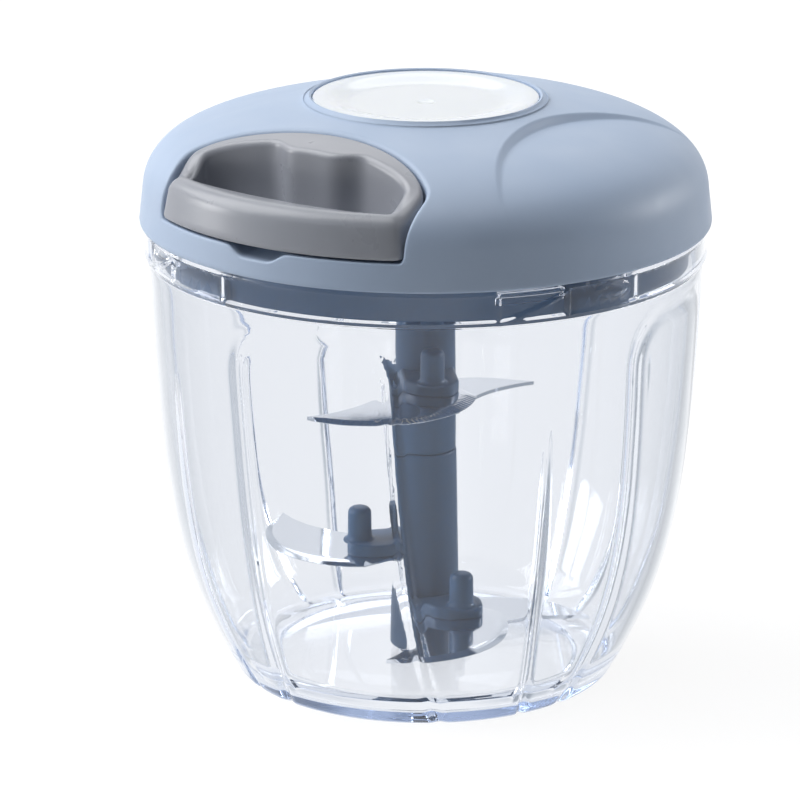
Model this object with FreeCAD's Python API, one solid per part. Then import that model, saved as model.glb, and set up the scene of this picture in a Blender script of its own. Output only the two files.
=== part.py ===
import FreeCAD, Part
import math
import os
from FreeCAD import Vector

# Hand pull-cord food chopper: a clear fluted bowl, a bayonet lid that holds a
# sprung cord spool, a D-ring pull handle docked in the lid, and a column of
# five curved blades that the spool turns through a one-way clutch.
# Millimetres, +Z up, origin at the bottom centre, handle pulls towards -Y.
# Headings are degrees from -Y towards +X, counter-clockwise seen from above.

# ---------------------------------------------------------------- bowl
BOWL_HEIGHT = 102.4
FLOOR_THICK = 3.0
WALL_THICK = 2.4
BASE_RADIUS = 41.9
COLLAR_RADIUS = 61.2
COLLAR_HEIGHT = 7.4
COLLAR_THICK = 1.9
COLLAR_STEP = 0.35
BELLY_INSETS = (3.2, 2.3)
BELLY_SHARES = (0.283, 0.49)
SECTION_SHARES = (0.04, 0.095, 0.17, 0.26, 0.38, 0.53, 0.7, 0.84, 0.93, 1.0)
FLOOR_FILLET = 1.2
LEDGE_LIP = 0.8
FOOT_RING_WIDTH = 7.9
FOOT_RECESS_DEPTH = 0.8
FLUTE_COUNT = 8
FLUTE_HEADING = 38.0
FLUTE_DRIFT = -5.0
FLUTE_DEPTH = 1.1
FLUTE_WIDTH = 2.6
FLUTE_TOP_MARGIN = 7.0
FLUTE_FADE = 20.0
FLOOR_BOSS_RADIUS = 5.5
FLOOR_BOSS_HEIGHT = 0.8
BAYONET_COUNT = 4
LUG_HEADING = 72.5
LUG_SPAN = 16.0
LUG_HEIGHT = 3.8
LUG_REACH = 1.5
RAMP_SPAN = 14.0
RAMP_THICK = 1.4
LOCK_TURN = 15.0
RIB_HEADINGS = (49.2, 63.8, 81.1)
RIB_PROUD = 0.35
RIB_WIDTH = 0.7
DETENT_HEADING = 74.8
DETENT_WIDTH = 9.3
DETENT_HEIGHT = 3.4

# ---------------------------------------------------------------- lid
LID_OVERHANG = 1.3
LID_HEIGHT = 27.3
LID_SIDE_HEIGHT = 8.3
LID_SIDE_DRAFT = 0.9
DOME_SIDE_POLE_INSET = 1.56
DOME_SIDE_POLE_DROP = 2.3
DOME_TOP_POLE_DROP = 3.15
DISC_RIM_RADIUS = 25.4
DISC_RADIUS = 24.6
DISC_THICK = 1.8
DISC_INSET = 1.0
TOP_WALL = 2.0
ROOF_THICK = 2.4
PAD_ARC_RADIUS = 51.4
PAD_ARC_CENTRE = 81.2
PAD_DROP = 1.9
PAD_SWELL = 0.3
RECESS_HALF_WIDTH = 31.2
RECESS_TO_SPOOL = 6.5
RECESS_BACK_RADIUS = 48.6
RECESS_CORNER = 4.5
RECESS_FLOOR_ABOVE_EDGE = 6.2
RECESS_WALL = 1.8
NOTCH_RADIUS = 8.0
NOTCH_DEPTH = 2.5
FLANGE_THICK = 1.8
SKIRT_CLEAR = 1.8
SKIRT_THICK = 2.2
FLOOR_PLATE_THICK = 2.0
FLOOR_PLATE_ABOVE_SKIRT = 4.2
SEAL_THICK = 1.0
SEAL_WIDTH = 2.4
SCREW_RADIUS = 1.5
SCREW_HEAD_RADIUS = 2.8
SCREW_HEAD_HEIGHT = 1.4
SCREW_LENGTH = 8.0
SCREW_INSET = 7.3
SCREW_HEADINGS = (60.0, 120.0, 240.0, 300.0)
SCREW_BOSS_RADIUS = 3.8

# ---------------------------------------------------------------- handle and cord
HANDLE_CLEAR = 0.4
HANDLE_FLOOR = 3.0
HANDLE_SIDE_WALL = 3.6
HANDLE_BACK_WALL = 4.8
HANDLE_BAR = 8.0
HANDLE_DROP = 0.5
HANDLE_SWELL = 0.8
BAR_FACE_INSET = 0.7
BAR_CREASE_INSET = 1.8
BAR_CREASE_RISE = 6.9
BAR_TOP_RISE = 9.2
BAR_BACK_DROP = 0.5
BAR_SLOPE = 0.75
NOSE_RADIUS = 10.0
NOSE_REACH = 3.9
CORD_RADIUS = 1.1
CORD_CLEAR = 0.3
CORD_ABOVE_RECESS = 5.1
KNOT_RADIUS = 2.7
GUIDE_WALL = 1.0
GUIDE_FLANGE = 1.0

# ---------------------------------------------------------------- mechanism
AXLE_RADIUS = 2.5
AXLE_IN_ROOF = 1.6
RUNNING_CLEAR = 0.05
FACE_GAP = 0.1
BODY_GAP = 0.3
HUB_SHAFT_RADIUS = 8.0
HUB_FLANGE_RADIUS = 20.0
HUB_FLANGE_THICK = 1.5
HUB_BELOW_PLATE = 5.4
BUSHING_WALL = 2.0
BUSHING_FLANGE_RADIUS = 13.0
BUSHING_FLANGE_THICK = 1.3
BUSHING_LENGTH = 4.0
BOSS_WALL = 3.0
RING_THICK = 1.0
RING_GROOVE = 0.8
RING_RADIUS = 9.8
RING_OPENING = 60.0
RATCHET_HEIGHT = 3.5
RATCHET_WALL = 2.0
RATCHET_TEETH = 12
RATCHET_DEPTH = 1.4
PAWL_COUNT = 3
PAWL_SWEEP = 28.0
PAWL_CIRCLE = 10.5
PAWL_THICK = 2.8
PAWL_WIDTH = 2.4
PAWL_PIN_RADIUS = 1.0
WASHER_THICK = 0.6
SPOOL_TUBE_RADIUS = 6.0
SPOOL_DRUM_RADIUS = 14.5
SPOOL_FLANGE_RADIUS = 24.0
SPOOL_FLANGE_THICK = 1.2
SPOOL_WINDING_HEIGHT = 7.6
SPRING_CUP_WALL = 1.6
SPRING_CUP_RADIUS = 22.2
SPRING_CUP_HEIGHT = 5.6
SPRING_STRIP = 0.45
SPRING_TURNS = 6
SPRING_HEIGHT = 4.0
ARBOR_RADIUS = 4.5
TANG_THICK = 3.0
TANG_WIDTH = 11.0
TANG_HEIGHT = 6.3
SOCKET_PLAY = 3.0

# ---------------------------------------------------------------- blade column
COLUMN_TOP_RADIUS = 6.4
COLUMN_SEAM_RADIUS = 6.8
COLUMN_FOOT_RADIUS = 7.8
COLUMN_SEAM_Z = 50.0
SPIGOT_SIDE = 7.4
SPIGOT_HEIGHT = 11.0
PIN_RADIUS = 2.5
PIN_TOP_Z = 24.0
PIN_DEPTH = 1.8
FOOT_BUSH_WALL = 1.9
FOOT_BUSH_LENGTH = 8.0
PIN_BORE_CLEAR = 0.7
BLADE_THICK = 0.8
BLADE_CLEAR = 1.9
BLADE_ROOT = 5.2
ARM_THICK = 2.7
ARM_REACH = 18.0
ARM_HALF_WIDTH = 6.0
ARM_NOSE = 5.0
PEG_RADIUS = 2.65
PEG_HEIGHT = 7.4
PEG_CENTRE = 14.8
RIVET_RADIUS = 1.9
# blade node: top face height and heading of its arm
BLADES = {
    "top_front_blade": (66.8, 41.0),
    "top_rear_blade": (55.6, 221.0),
    "middle_blade": (26.6, -45.0),
    "lower_blade": (14.6, 68.0),
    "bottom_blade": (5.3, 188.0),
}

# ---------------------------------------------------------------- heights worked out
LEDGE_Z = BOWL_HEIGHT - COLLAR_HEIGHT
LEDGE_STEP_Z = LEDGE_Z - LEDGE_LIP
COLLAR_BORE = COLLAR_RADIUS - COLLAR_THICK
WALL_TOP_RADIUS = COLLAR_RADIUS - COLLAR_STEP
FOOT_RECESS_RADIUS = BASE_RADIUS - FOOT_RING_WIDTH
LID_RADIUS = COLLAR_RADIUS + LID_OVERHANG
SKIRT_RADIUS = COLLAR_BORE - SKIRT_CLEAR
SCREW_CIRCLE = SKIRT_RADIUS - SKIRT_THICK - SCREW_INSET
RECESS_BACK = SPOOL_FLANGE_RADIUS + RECESS_TO_SPOOL + RECESS_WALL
BLADE_REACH = BASE_RADIUS - BLADE_CLEAR
LID_EDGE_Z = BOWL_HEIGHT + BODY_GAP
LID_TOP_Z = LID_EDGE_Z + LID_HEIGHT
DOME_START_Z = LID_EDGE_Z + LID_SIDE_HEIGHT
DOME_START_RADIUS = LID_RADIUS - LID_SIDE_DRAFT
DISC_SEAT_Z = LID_TOP_Z - DISC_INSET - DISC_THICK
ROOF_Z = DISC_SEAT_Z - ROOF_THICK
RECESS_Z = LID_EDGE_Z + RECESS_FLOOR_ABOVE_EDGE
CORD_Z = RECESS_Z + CORD_ABOVE_RECESS
SEAL_Z = BOWL_HEIGHT + FACE_GAP
FLANGE_Z = SEAL_Z + SEAL_THICK + 2 * FACE_GAP
FLANGE_RADIUS = LID_RADIUS - TOP_WALL - 2 * FACE_GAP
SKIRT_Z = LEDGE_STEP_Z + 2 * BODY_GAP
LUG_RADIUS = SKIRT_RADIUS + LUG_REACH
RAMP_Z = SKIRT_Z + LUG_HEIGHT + BODY_GAP + FACE_GAP
RAMP_BORE = SKIRT_RADIUS + 0.5
PLATE_Z = SKIRT_Z + FLOOR_PLATE_ABOVE_SKIRT
PLATE_TOP_Z = PLATE_Z + FLOOR_PLATE_THICK
BUSHING_RADIUS = HUB_SHAFT_RADIUS + RUNNING_CLEAR + BUSHING_WALL
BUSHING_Z = PLATE_TOP_Z - BUSHING_LENGTH
HUB_Z = PLATE_Z - HUB_BELOW_PLATE
HUB_FLANGE_Z = PLATE_TOP_Z + BUSHING_FLANGE_THICK + FACE_GAP
HUB_TOP_Z = HUB_FLANGE_Z + HUB_FLANGE_THICK
RING_Z = BUSHING_Z - FACE_GAP - RING_THICK
WASHER_Z = HUB_TOP_Z + FACE_GAP
SPOOL_TUBE_Z = WASHER_Z + WASHER_THICK
SPOOL_Z = HUB_TOP_Z + RATCHET_HEIGHT + 2 * BODY_GAP
WINDING_Z = SPOOL_Z + SPOOL_FLANGE_THICK
CUP_Z = WINDING_Z + SPOOL_WINDING_HEIGHT + SPOOL_FLANGE_THICK
SPRING_Z = CUP_Z + (SPRING_CUP_HEIGHT - SPRING_HEIGHT) / 2
ARBOR_Z = CUP_Z + BODY_GAP
COLUMN_TOP_Z = HUB_Z - BODY_GAP
COLUMN_FOOT_Z = FLOOR_THICK + FLOOR_BOSS_HEIGHT + BODY_GAP
WIND_RADIUS = SPOOL_DRUM_RADIUS + CORD_RADIUS + 0.1


# ---------------------------------------------------------------- helpers
def heading(degrees, radius=1.0, z=0.0):
    """Point at a heading and radius round the main axis."""
    angle = math.radians(degrees)
    return Vector(radius * math.sin(angle), -radius * math.cos(angle), z)


def turned(shape, degrees):
    """Copy of a shape turned about the main axis."""
    copy = shape.copy()
    copy.rotate(Vector(0, 0, 0), Vector(0, 0, 1), degrees)
    return copy


def disc(radius, z0, z1, centre=(0.0, 0.0)):
    """Upright solid cylinder between two heights."""
    return Part.makeCylinder(radius, z1 - z0, Vector(centre[0], centre[1], z0))


def ring(inner, outer, z0, z1, centre=(0.0, 0.0)):
    """Upright tube between two heights."""
    return disc(outer, z0, z1, centre).cut(disc(inner, z0 - 1, z1 + 1, centre))


def sector(inner, outer, z0, z1, start, end):
    """Part of a tube between two headings."""
    edge = Part.makePolygon([heading(start, inner, z0), heading(start, outer, z0),
                             heading(start, outer, z1), heading(start, inner, z1),
                             heading(start, inner, z0)])
    return Part.Face(edge).revolve(Vector(0, 0, 0), Vector(0, 0, 1), end - start)


def lathe(points):
    """Solid turned from a closed outline of (radius, z) points."""
    corners = [Vector(r, 0, z) for r, z in points]
    face = Part.Face(Part.makePolygon(corners + corners[:1]))
    return face.revolve(Vector(0, 0, 0), Vector(0, 0, 1), 360)


def bar_along_y(radius, y0, y1, x, z):
    """Solid cylinder along Y."""
    return Part.makeCylinder(radius, y1 - y0, Vector(x, y0, z), Vector(0, 1, 0))


def slab(wire_edges, z0, z1):
    """Upright prism over a closed plan outline drawn at z = 0."""
    face = Part.Face(Part.Wire(wire_edges))
    face.translate(Vector(0, 0, z0))
    return face.extrude(Vector(0, 0, z1 - z0))


def save(node, shape):
    """Write one node's solids to its STEP file."""
    shape.exportStep("parts/%s.step" % node)


# ---------------------------------------------------------------- bowl
def wall_point(t):
    """Bezier outline of the bowl's outer wall: (radius, z) at t from 0 to 1."""
    belly = [(WALL_TOP_RADIUS - inset, LEDGE_Z * share)
             for inset, share in zip(BELLY_INSETS, BELLY_SHARES)]
    poles = [(BASE_RADIUS, 0.0)] + belly + [(WALL_TOP_RADIUS, LEDGE_Z)]
    weights = ((1 - t) ** 3, 3 * t * (1 - t) ** 2, 3 * t ** 2 * (1 - t), t ** 3)
    radius = sum(w * p[0] for w, p in zip(weights, poles))
    return radius, sum(w * p[1] for w, p in zip(weights, poles))


def wall_radius(z):
    """Outer wall radius at a height, found by halving t."""
    low, high = 0.0, 1.0
    for _ in range(40):
        middle = (low + high) / 2
        if wall_point(middle)[1] < z:
            low = middle
        else:
            high = middle
    return wall_point(low)[0]


def flute_depth(degrees, z, radius):
    """Depth of the flutes at a heading and height: a bell-shaped groove each."""
    fade = max(0.0, min(1.0, (LEDGE_Z - FLUTE_TOP_MARGIN - z) / FLUTE_FADE))
    pitch = 360.0 / FLUTE_COUNT
    middle = FLUTE_HEADING + FLUTE_DRIFT * z / LEDGE_Z
    away = (degrees - middle + pitch / 2) % pitch - pitch / 2
    across = math.radians(away) * radius / FLUTE_WIDTH
    return FLUTE_DEPTH * fade * math.exp(-across ** 2)


def wall_section(z, inset):
    """Closed spline round the wall at one height, set in from the outer face."""
    radius = wall_radius(z)
    steps = FLUTE_COUNT * 12
    points = []
    for step in range(steps):
        degrees = 360.0 * step / steps
        points.append(heading(degrees, radius - inset - flute_depth(degrees, z, radius), z))
    curve = Part.BSplineCurve()
    curve.interpolate(points, PeriodicFlag=True)
    return Part.Wire([curve.toShape()])


def wall_loft(heights, inset):
    """Solid through the wall's sections."""
    return Part.makeLoft([wall_section(z, inset) for z in heights], True, False)


def detent(direction):
    """Raised oval outline on the collar where the lid clicks shut."""
    outward = heading(direction)
    across = heading(direction + 90)
    middle_z = (LEDGE_Z + BOWL_HEIGHT) / 2 + RIB_PROUD
    start = heading(direction, COLLAR_RADIUS - 0.6, middle_z)
    faces = []
    for margin in (0.0, RIB_WIDTH):
        half_wide, half_high = DETENT_WIDTH / 2 - margin, DETENT_HEIGHT / 2 - margin
        oval = Part.Ellipse(start + across * half_wide, start + Vector(0, 0, half_high), start)
        faces.append(Part.Face(Part.Wire([oval.toShape()])))
    reach = outward * (0.6 + RIB_PROUD)
    return faces[0].extrude(reach).cut(faces[1].extrude(reach))


def build_bowl():
    """Clear bowl with flutes, collar, bayonet ramps and foot."""
    heights = [LEDGE_Z * share for share in SECTION_SHARES]
    body = wall_loft([0.0] + heights, 0.0)
    body = body.fuse(disc(COLLAR_RADIUS, LEDGE_STEP_Z, BOWL_HEIGHT))
    fillet_z = FLOOR_THICK + FLOOR_FILLET
    above = [z for z in heights if z > fillet_z + FLOOR_FILLET]
    insets = [WALL_THICK + 2 * FLOOR_FILLET, WALL_THICK + FLOOR_FILLET / 3]
    insets += [WALL_THICK] * len(above)
    wires = [wall_section(z, inset) for z, inset in zip([FLOOR_THICK, fillet_z] + above, insets)]
    body = body.cut(Part.makeLoft(wires, True, False))
    body = body.cut(disc(COLLAR_BORE, LEDGE_STEP_Z, BOWL_HEIGHT + 1))
    body = body.cut(disc(FOOT_RECESS_RADIUS, -1, FOOT_RECESS_DEPTH))
    body = body.fuse(disc(FLOOR_BOSS_RADIUS, FLOOR_THICK - 0.5, FLOOR_THICK + FLOOR_BOSS_HEIGHT))
    body = body.cut(disc(PIN_RADIUS, FLOOR_THICK - PIN_DEPTH, FLOOR_THICK + 5))
    extras = []
    for index in range(BAYONET_COUNT):
        turn = 360.0 / BAYONET_COUNT * index
        ramp_end = LUG_HEADING - LUG_SPAN / 2 - 1.0 + turn
        extras.append(sector(RAMP_BORE, COLLAR_BORE + 0.5, RAMP_Z, RAMP_Z + RAMP_THICK,
                             ramp_end - RAMP_SPAN, ramp_end))
        for direction in RIB_HEADINGS:
            half = math.degrees(RIB_WIDTH / 2 / COLLAR_RADIUS)
            extras.append(sector(COLLAR_RADIUS - 0.5, COLLAR_RADIUS + RIB_PROUD, LEDGE_Z,
                                 BOWL_HEIGHT - RIB_PROUD, direction + turn - half,
                                 direction + turn + half))
    extras += [detent(DETENT_HEADING), detent(DETENT_HEADING + 180)]
    return body.fuse(extras).removeSplitter()


def build_floor_pin():
    """Steel pin pressed into the floor, on which the blade column turns."""
    pin = disc(PIN_RADIUS, FLOOR_THICK - PIN_DEPTH, PIN_TOP_Z)
    tip = [edge for edge in pin.Edges if abs(edge.BoundBox.ZMin - PIN_TOP_Z) < 0.01
           and edge.BoundBox.ZLength < 0.01]
    return pin.makeFillet(PIN_RADIUS * 0.4, tip)


# ---------------------------------------------------------------- lid shells
def dome(drop=0.0, swell=0.0):
    """Solid of the lid's outer shape; drop lowers its crown, swell widens its side."""
    side = Part.LineSegment(Vector(LID_RADIUS + swell, 0, LID_EDGE_Z),
                            Vector(DOME_START_RADIUS + swell, 0, DOME_START_Z))
    crown = Part.BezierCurve()
    crown.setPoles([Vector(DOME_START_RADIUS + swell, 0, DOME_START_Z),
                    Vector(DOME_START_RADIUS - DOME_SIDE_POLE_INSET + swell, 0,
                           LID_TOP_Z - DOME_SIDE_POLE_DROP),
                    Vector(DISC_RIM_RADIUS, 0, LID_TOP_Z - DOME_TOP_POLE_DROP - drop),
                    Vector(DISC_RIM_RADIUS, 0, LID_TOP_Z - drop)])
    top = Vector(0, 0, LID_TOP_Z - drop)
    base = Vector(0, 0, LID_EDGE_Z)
    flat = Part.LineSegment(Vector(DISC_RIM_RADIUS, 0, LID_TOP_Z - drop), top)
    axis = Part.LineSegment(top, base)
    under = Part.LineSegment(base, Vector(LID_RADIUS + swell, 0, LID_EDGE_Z))
    wire = Part.Wire([curve.toShape() for curve in (side, crown, flat, axis, under)])
    return Part.Face(wire).revolve(Vector(0, 0, 0), Vector(0, 0, 1), 360)


def recess_outline(grow, back_grow=None):
    """Plan edges of the handle's D-shaped bay, grown outwards by an amount."""
    back_grow = grow if back_grow is None else back_grow
    half = RECESS_HALF_WIDTH + grow
    arc_radius = RECESS_BACK_RADIUS + back_grow
    centre_y = -RECESS_BACK - RECESS_BACK_RADIUS
    corner = RECESS_CORNER
    corner_x = half - corner
    corner_y = centre_y + math.sqrt((arc_radius - corner) ** 2 - corner_x ** 2)
    scale = arc_radius / (arc_radius - corner)
    touch = Vector(corner_x * scale, centre_y + (corner_y - centre_y) * scale, 0)
    middle = Vector(corner_x, corner_y, 0) + (touch - Vector(corner_x, corner_y, 0)
                                              + Vector(corner, 0, 0)).normalize() * corner
    front = -LID_RADIUS - 10
    right, left = Vector(half, corner_y, 0), Vector(-half, corner_y, 0)
    mirror = Vector(-1, 1, 1)

    def flip(point):
        return Vector(point.x * mirror.x, point.y, 0)

    return [Part.LineSegment(Vector(half, front, 0), right).toShape(),
            Part.Arc(right, middle, touch).toShape(),
            Part.Arc(touch, Vector(0, centre_y + arc_radius, 0), flip(touch)).toShape(),
            Part.Arc(flip(touch), flip(middle), left).toShape(),
            Part.LineSegment(left, Vector(-half, front, 0)).toShape(),
            Part.LineSegment(Vector(-half, front, 0), Vector(half, front, 0)).toShape()]


def lid_inside():
    """Solid of the space under the top cover: side, crown and flat roof."""
    side = DOME_START_RADIUS - TOP_WALL
    lower = TOP_WALL + PAD_DROP
    bottom, start = LID_EDGE_Z - 1, DOME_START_Z - TOP_WALL
    crown = Part.BezierCurve()
    crown.setPoles([Vector(side, 0, start),
                    Vector(side - DOME_SIDE_POLE_INSET, 0, LID_TOP_Z - DOME_SIDE_POLE_DROP - lower),
                    Vector(DISC_RIM_RADIUS + TOP_WALL, 0, ROOF_Z - FACE_GAP),
                    Vector(DISC_RIM_RADIUS, 0, ROOF_Z)])
    corners = [Vector(DISC_RIM_RADIUS, 0, ROOF_Z), Vector(0, 0, ROOF_Z), Vector(0, 0, bottom),
               Vector(side, 0, bottom), Vector(side, 0, start)]
    edges = [Part.LineSegment(a, b).toShape() for a, b in zip(corners, corners[1:])]
    wire = Part.Wire([crown.toShape()] + edges)
    return Part.Face(wire).revolve(Vector(0, 0, 0), Vector(0, 0, 1), 360)


def build_top_cover():
    """Domed shell with the handle bay, finger pads and disc seat."""
    outer = dome()
    lowered = dome(PAD_DROP, PAD_SWELL)
    for side in (-1, 1):
        patch = disc(PAD_ARC_RADIUS, DOME_START_Z, LID_TOP_Z + 1, (side * PAD_ARC_CENTRE, 0))
        outer = outer.cut(patch.cut(lowered))
    bay = slab(recess_outline(0.0), RECESS_Z, LID_TOP_Z + 5)
    bay_shell = slab(recess_outline(RECESS_WALL), RECESS_Z - RECESS_WALL, LID_TOP_Z + 5)
    notch_back = Part.makeBox(2 * NOTCH_RADIUS + 2, 9, NOTCH_DEPTH + 2 * RECESS_WALL,
                              Vector(-NOTCH_RADIUS - 1, -LID_RADIUS,
                                     RECESS_Z - NOTCH_DEPTH - RECESS_WALL))
    bosses = [disc(SCREW_BOSS_RADIUS, PLATE_TOP_Z, LID_TOP_Z, heading(at, SCREW_CIRCLE)[:2])
              for at in SCREW_HEADINGS]
    solid_parts = bay_shell.fuse([notch_back] + bosses).common(outer)
    shell = outer.cut(lid_inside()).fuse(solid_parts)
    below_edge = disc(LID_RADIUS - TOP_WALL, LID_EDGE_Z - 1, FLANGE_Z + FLANGE_THICK + FACE_GAP)
    low_bosses = [disc(SCREW_BOSS_RADIUS, PLATE_TOP_Z, FLANGE_Z + FLANGE_THICK + 1,
                       heading(at, SCREW_CIRCLE)[:2]) for at in SCREW_HEADINGS]
    shell = shell.cut(below_edge).fuse(low_bosses)
    notch = bar_along_y(NOTCH_RADIUS, -LID_RADIUS - 5, -LID_RADIUS + 7, 0,
                        RECESS_Z - NOTCH_DEPTH + NOTCH_RADIUS)
    cuts = [bay, notch, disc(DISC_RADIUS + FACE_GAP, DISC_SEAT_Z, LID_TOP_Z + 1),
            disc(AXLE_RADIUS, ROOF_Z - 1, ROOF_Z + AXLE_IN_ROOF),
            bar_along_y(CORD_RADIUS + CORD_CLEAR + GUIDE_WALL, -RECESS_BACK - 2,
                        -RECESS_BACK + RECESS_WALL + 2, 0, CORD_Z)]
    cuts += [disc(SCREW_RADIUS, PLATE_Z, PLATE_Z + SCREW_LENGTH, heading(at, SCREW_CIRCLE)[:2])
             for at in SCREW_HEADINGS]
    return shell.cut(cuts)


def build_bottom_cover():
    """Floor plate, skirt, seal flange, bayonet lugs and bushing boss in one moulding."""
    inner = SKIRT_RADIUS - SKIRT_THICK
    pieces = [ring(inner, FLANGE_RADIUS, FLANGE_Z, FLANGE_Z + FLANGE_THICK),
              disc(inner + 0.5, PLATE_Z, PLATE_TOP_Z),
              disc(BUSHING_RADIUS + BOSS_WALL, BUSHING_Z, PLATE_TOP_Z)]
    for index in range(BAYONET_COUNT):
        middle = LUG_HEADING + 360.0 / BAYONET_COUNT * index
        pieces.append(sector(SKIRT_RADIUS - 0.5, LUG_RADIUS, SKIRT_Z, SKIRT_Z + LUG_HEIGHT,
                             middle - LUG_SPAN / 2, middle + LUG_SPAN / 2))
    cover = ring(inner, SKIRT_RADIUS, SKIRT_Z, FLANGE_Z + FLANGE_THICK).fuse(pieces)
    cuts = [disc(BUSHING_RADIUS, BUSHING_Z - 1, PLATE_TOP_Z + 1)]
    cuts += [disc(SCREW_RADIUS + FACE_GAP, PLATE_Z - 1, PLATE_TOP_Z + 1,
                  heading(at, SCREW_CIRCLE)[:2]) for at in SCREW_HEADINGS]
    return cover.cut(cuts).removeSplitter()


def build_lid_screws():
    """Self-tapping screws that hold the bottom cover, as one group."""
    screws = []
    for at in SCREW_HEADINGS:
        centre = heading(at, SCREW_CIRCLE)[:2]
        head = disc(SCREW_HEAD_RADIUS, PLATE_Z - SCREW_HEAD_HEIGHT, PLATE_Z, centre)
        cross = Part.makeBox(SCREW_HEAD_RADIUS, 0.7, 0.7, Vector(
            centre[0] - SCREW_HEAD_RADIUS / 2, centre[1] - 0.35, PLATE_Z - SCREW_HEAD_HEIGHT - 0.1))
        shank = disc(SCREW_RADIUS, PLATE_Z, PLATE_Z + SCREW_LENGTH, centre)
        screws.append(head.fuse(shank).cut(cross))
    return Part.makeCompound(screws)


def build_lid_seal():
    """Flat silicone ring between the collar rim and the lid's flange."""
    inner = SKIRT_RADIUS + BODY_GAP
    return ring(inner, inner + SEAL_WIDTH, SEAL_Z, SEAL_Z + SEAL_THICK)


def build_cover_disc():
    """Dished round disc set into the crown, with a small central dimple."""
    rim_z = DISC_SEAT_Z + DISC_THICK
    return lathe([(0, DISC_SEAT_Z), (DISC_RADIUS, DISC_SEAT_Z), (DISC_RADIUS, rim_z - 0.5),
                  (DISC_RADIUS - 0.5, rim_z), (DISC_RADIUS - 2.0, rim_z),
                  (DISC_RADIUS - 8.0, rim_z - 0.5), (2.0, rim_z - 0.7), (1.2, rim_z - 1.0),
                  (0, rim_z - 1.1)])


# ---------------------------------------------------------------- handle and cord
def handle_crown():
    """Turned form of the handle's front face, bar top and the slope behind it."""
    low = Vector(LID_RADIUS - BAR_FACE_INSET, 0, RECESS_Z)
    crease = Vector(LID_RADIUS - BAR_CREASE_INSET, 0, RECESS_Z + BAR_CREASE_RISE)
    top = Vector(LID_RADIUS - 1 - HANDLE_BAR / 2, 0, RECESS_Z + BAR_TOP_RISE)
    back = Vector(LID_RADIUS - 1 - HANDLE_BAR, 0, top.z - BAR_BACK_DROP)
    shoulder = Vector((crease.x + top.x) / 2 + BAR_BACK_DROP, 0,
                      (crease.z + top.z) / 2 + BAR_BACK_DROP)
    peak = Vector(0, 0, back.z + BAR_SLOPE * back.x)
    edges = [Part.LineSegment(Vector(0, 0, RECESS_Z), low), Part.LineSegment(low, crease),
             Part.Arc(crease, shoulder, top), Part.LineSegment(top, back),
             Part.LineSegment(back, peak), Part.LineSegment(peak, Vector(0, 0, RECESS_Z))]
    face = Part.Face(Part.Wire([edge.toShape() for edge in edges]))
    return face.revolve(Vector(0, 0, 0), Vector(0, 0, 1), 360)


def build_pull_handle():
    """D-shaped pull with an open finger pocket, flush with the dome but for its bar."""
    body = slab(recess_outline(-HANDLE_CLEAR), RECESS_Z + HANDLE_CLEAR, LID_TOP_Z)
    body = body.common(dome(HANDLE_DROP, HANDLE_SWELL)).common(handle_crown())
    pocket = slab(recess_outline(-HANDLE_CLEAR - HANDLE_SIDE_WALL,
                                 -HANDLE_CLEAR - HANDLE_BACK_WALL),
                  RECESS_Z + HANDLE_CLEAR + HANDLE_FLOOR, LID_TOP_Z + 1)
    pocket = pocket.common(disc(LID_RADIUS - HANDLE_BAR - 1.0, RECESS_Z, LID_TOP_Z + 1))
    back_y = -RECESS_BACK - HANDLE_CLEAR - HANDLE_BACK_WALL
    nose_y = back_y - NOSE_REACH + NOSE_RADIUS
    pocket = pocket.cut(disc(NOSE_RADIUS, RECESS_Z, LID_TOP_Z + 1, (0, nose_y)))
    knot_y = -RECESS_BACK - HANDLE_CLEAR - KNOT_RADIUS - 1.4
    knot_hole = disc(KNOT_RADIUS + CORD_CLEAR, RECESS_Z, CORD_Z + KNOT_RADIUS, (0, knot_y))
    cord_hole = bar_along_y(CORD_RADIUS + CORD_CLEAR, knot_y, -RECESS_BACK, 0, CORD_Z)
    cord_slot = Part.makeBox(2 * (CORD_RADIUS + CORD_CLEAR), -RECESS_BACK - knot_y,
                             CORD_Z - RECESS_Z, Vector(-CORD_RADIUS - CORD_CLEAR, knot_y, RECESS_Z))
    return body.cut([pocket, knot_hole, cord_hole, cord_slot])


def knot_centre():
    """Centre of the knot inside the handle."""
    return Vector(0, -RECESS_BACK - HANDLE_CLEAR - KNOT_RADIUS - 1.4, CORD_Z)


def build_cord_knot():
    """Knot at the cord's end, held in the handle's back wall."""
    centre = knot_centre()
    return Part.makeSphere(KNOT_RADIUS, centre)


def build_cord_lead():
    """Stretch of cord between the knot and the guide; it pays out when pulled."""
    start = knot_centre().y + KNOT_RADIUS
    return bar_along_y(CORD_RADIUS, start, -RECESS_BACK + RECESS_WALL, 0, CORD_Z)


def build_cord_guide():
    """Flanged eyelet in the bay's back wall."""
    bore = CORD_RADIUS + CORD_CLEAR
    inside = -RECESS_BACK + RECESS_WALL
    tube = bar_along_y(bore + GUIDE_WALL, -RECESS_BACK, inside, 0, CORD_Z)
    flange = bar_along_y(bore + 2 * GUIDE_WALL, inside, inside + GUIDE_FLANGE, 0, CORD_Z)
    return tube.fuse(flange).cut(bar_along_y(bore, -RECESS_BACK - 1, inside + 2, 0, CORD_Z))


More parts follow.
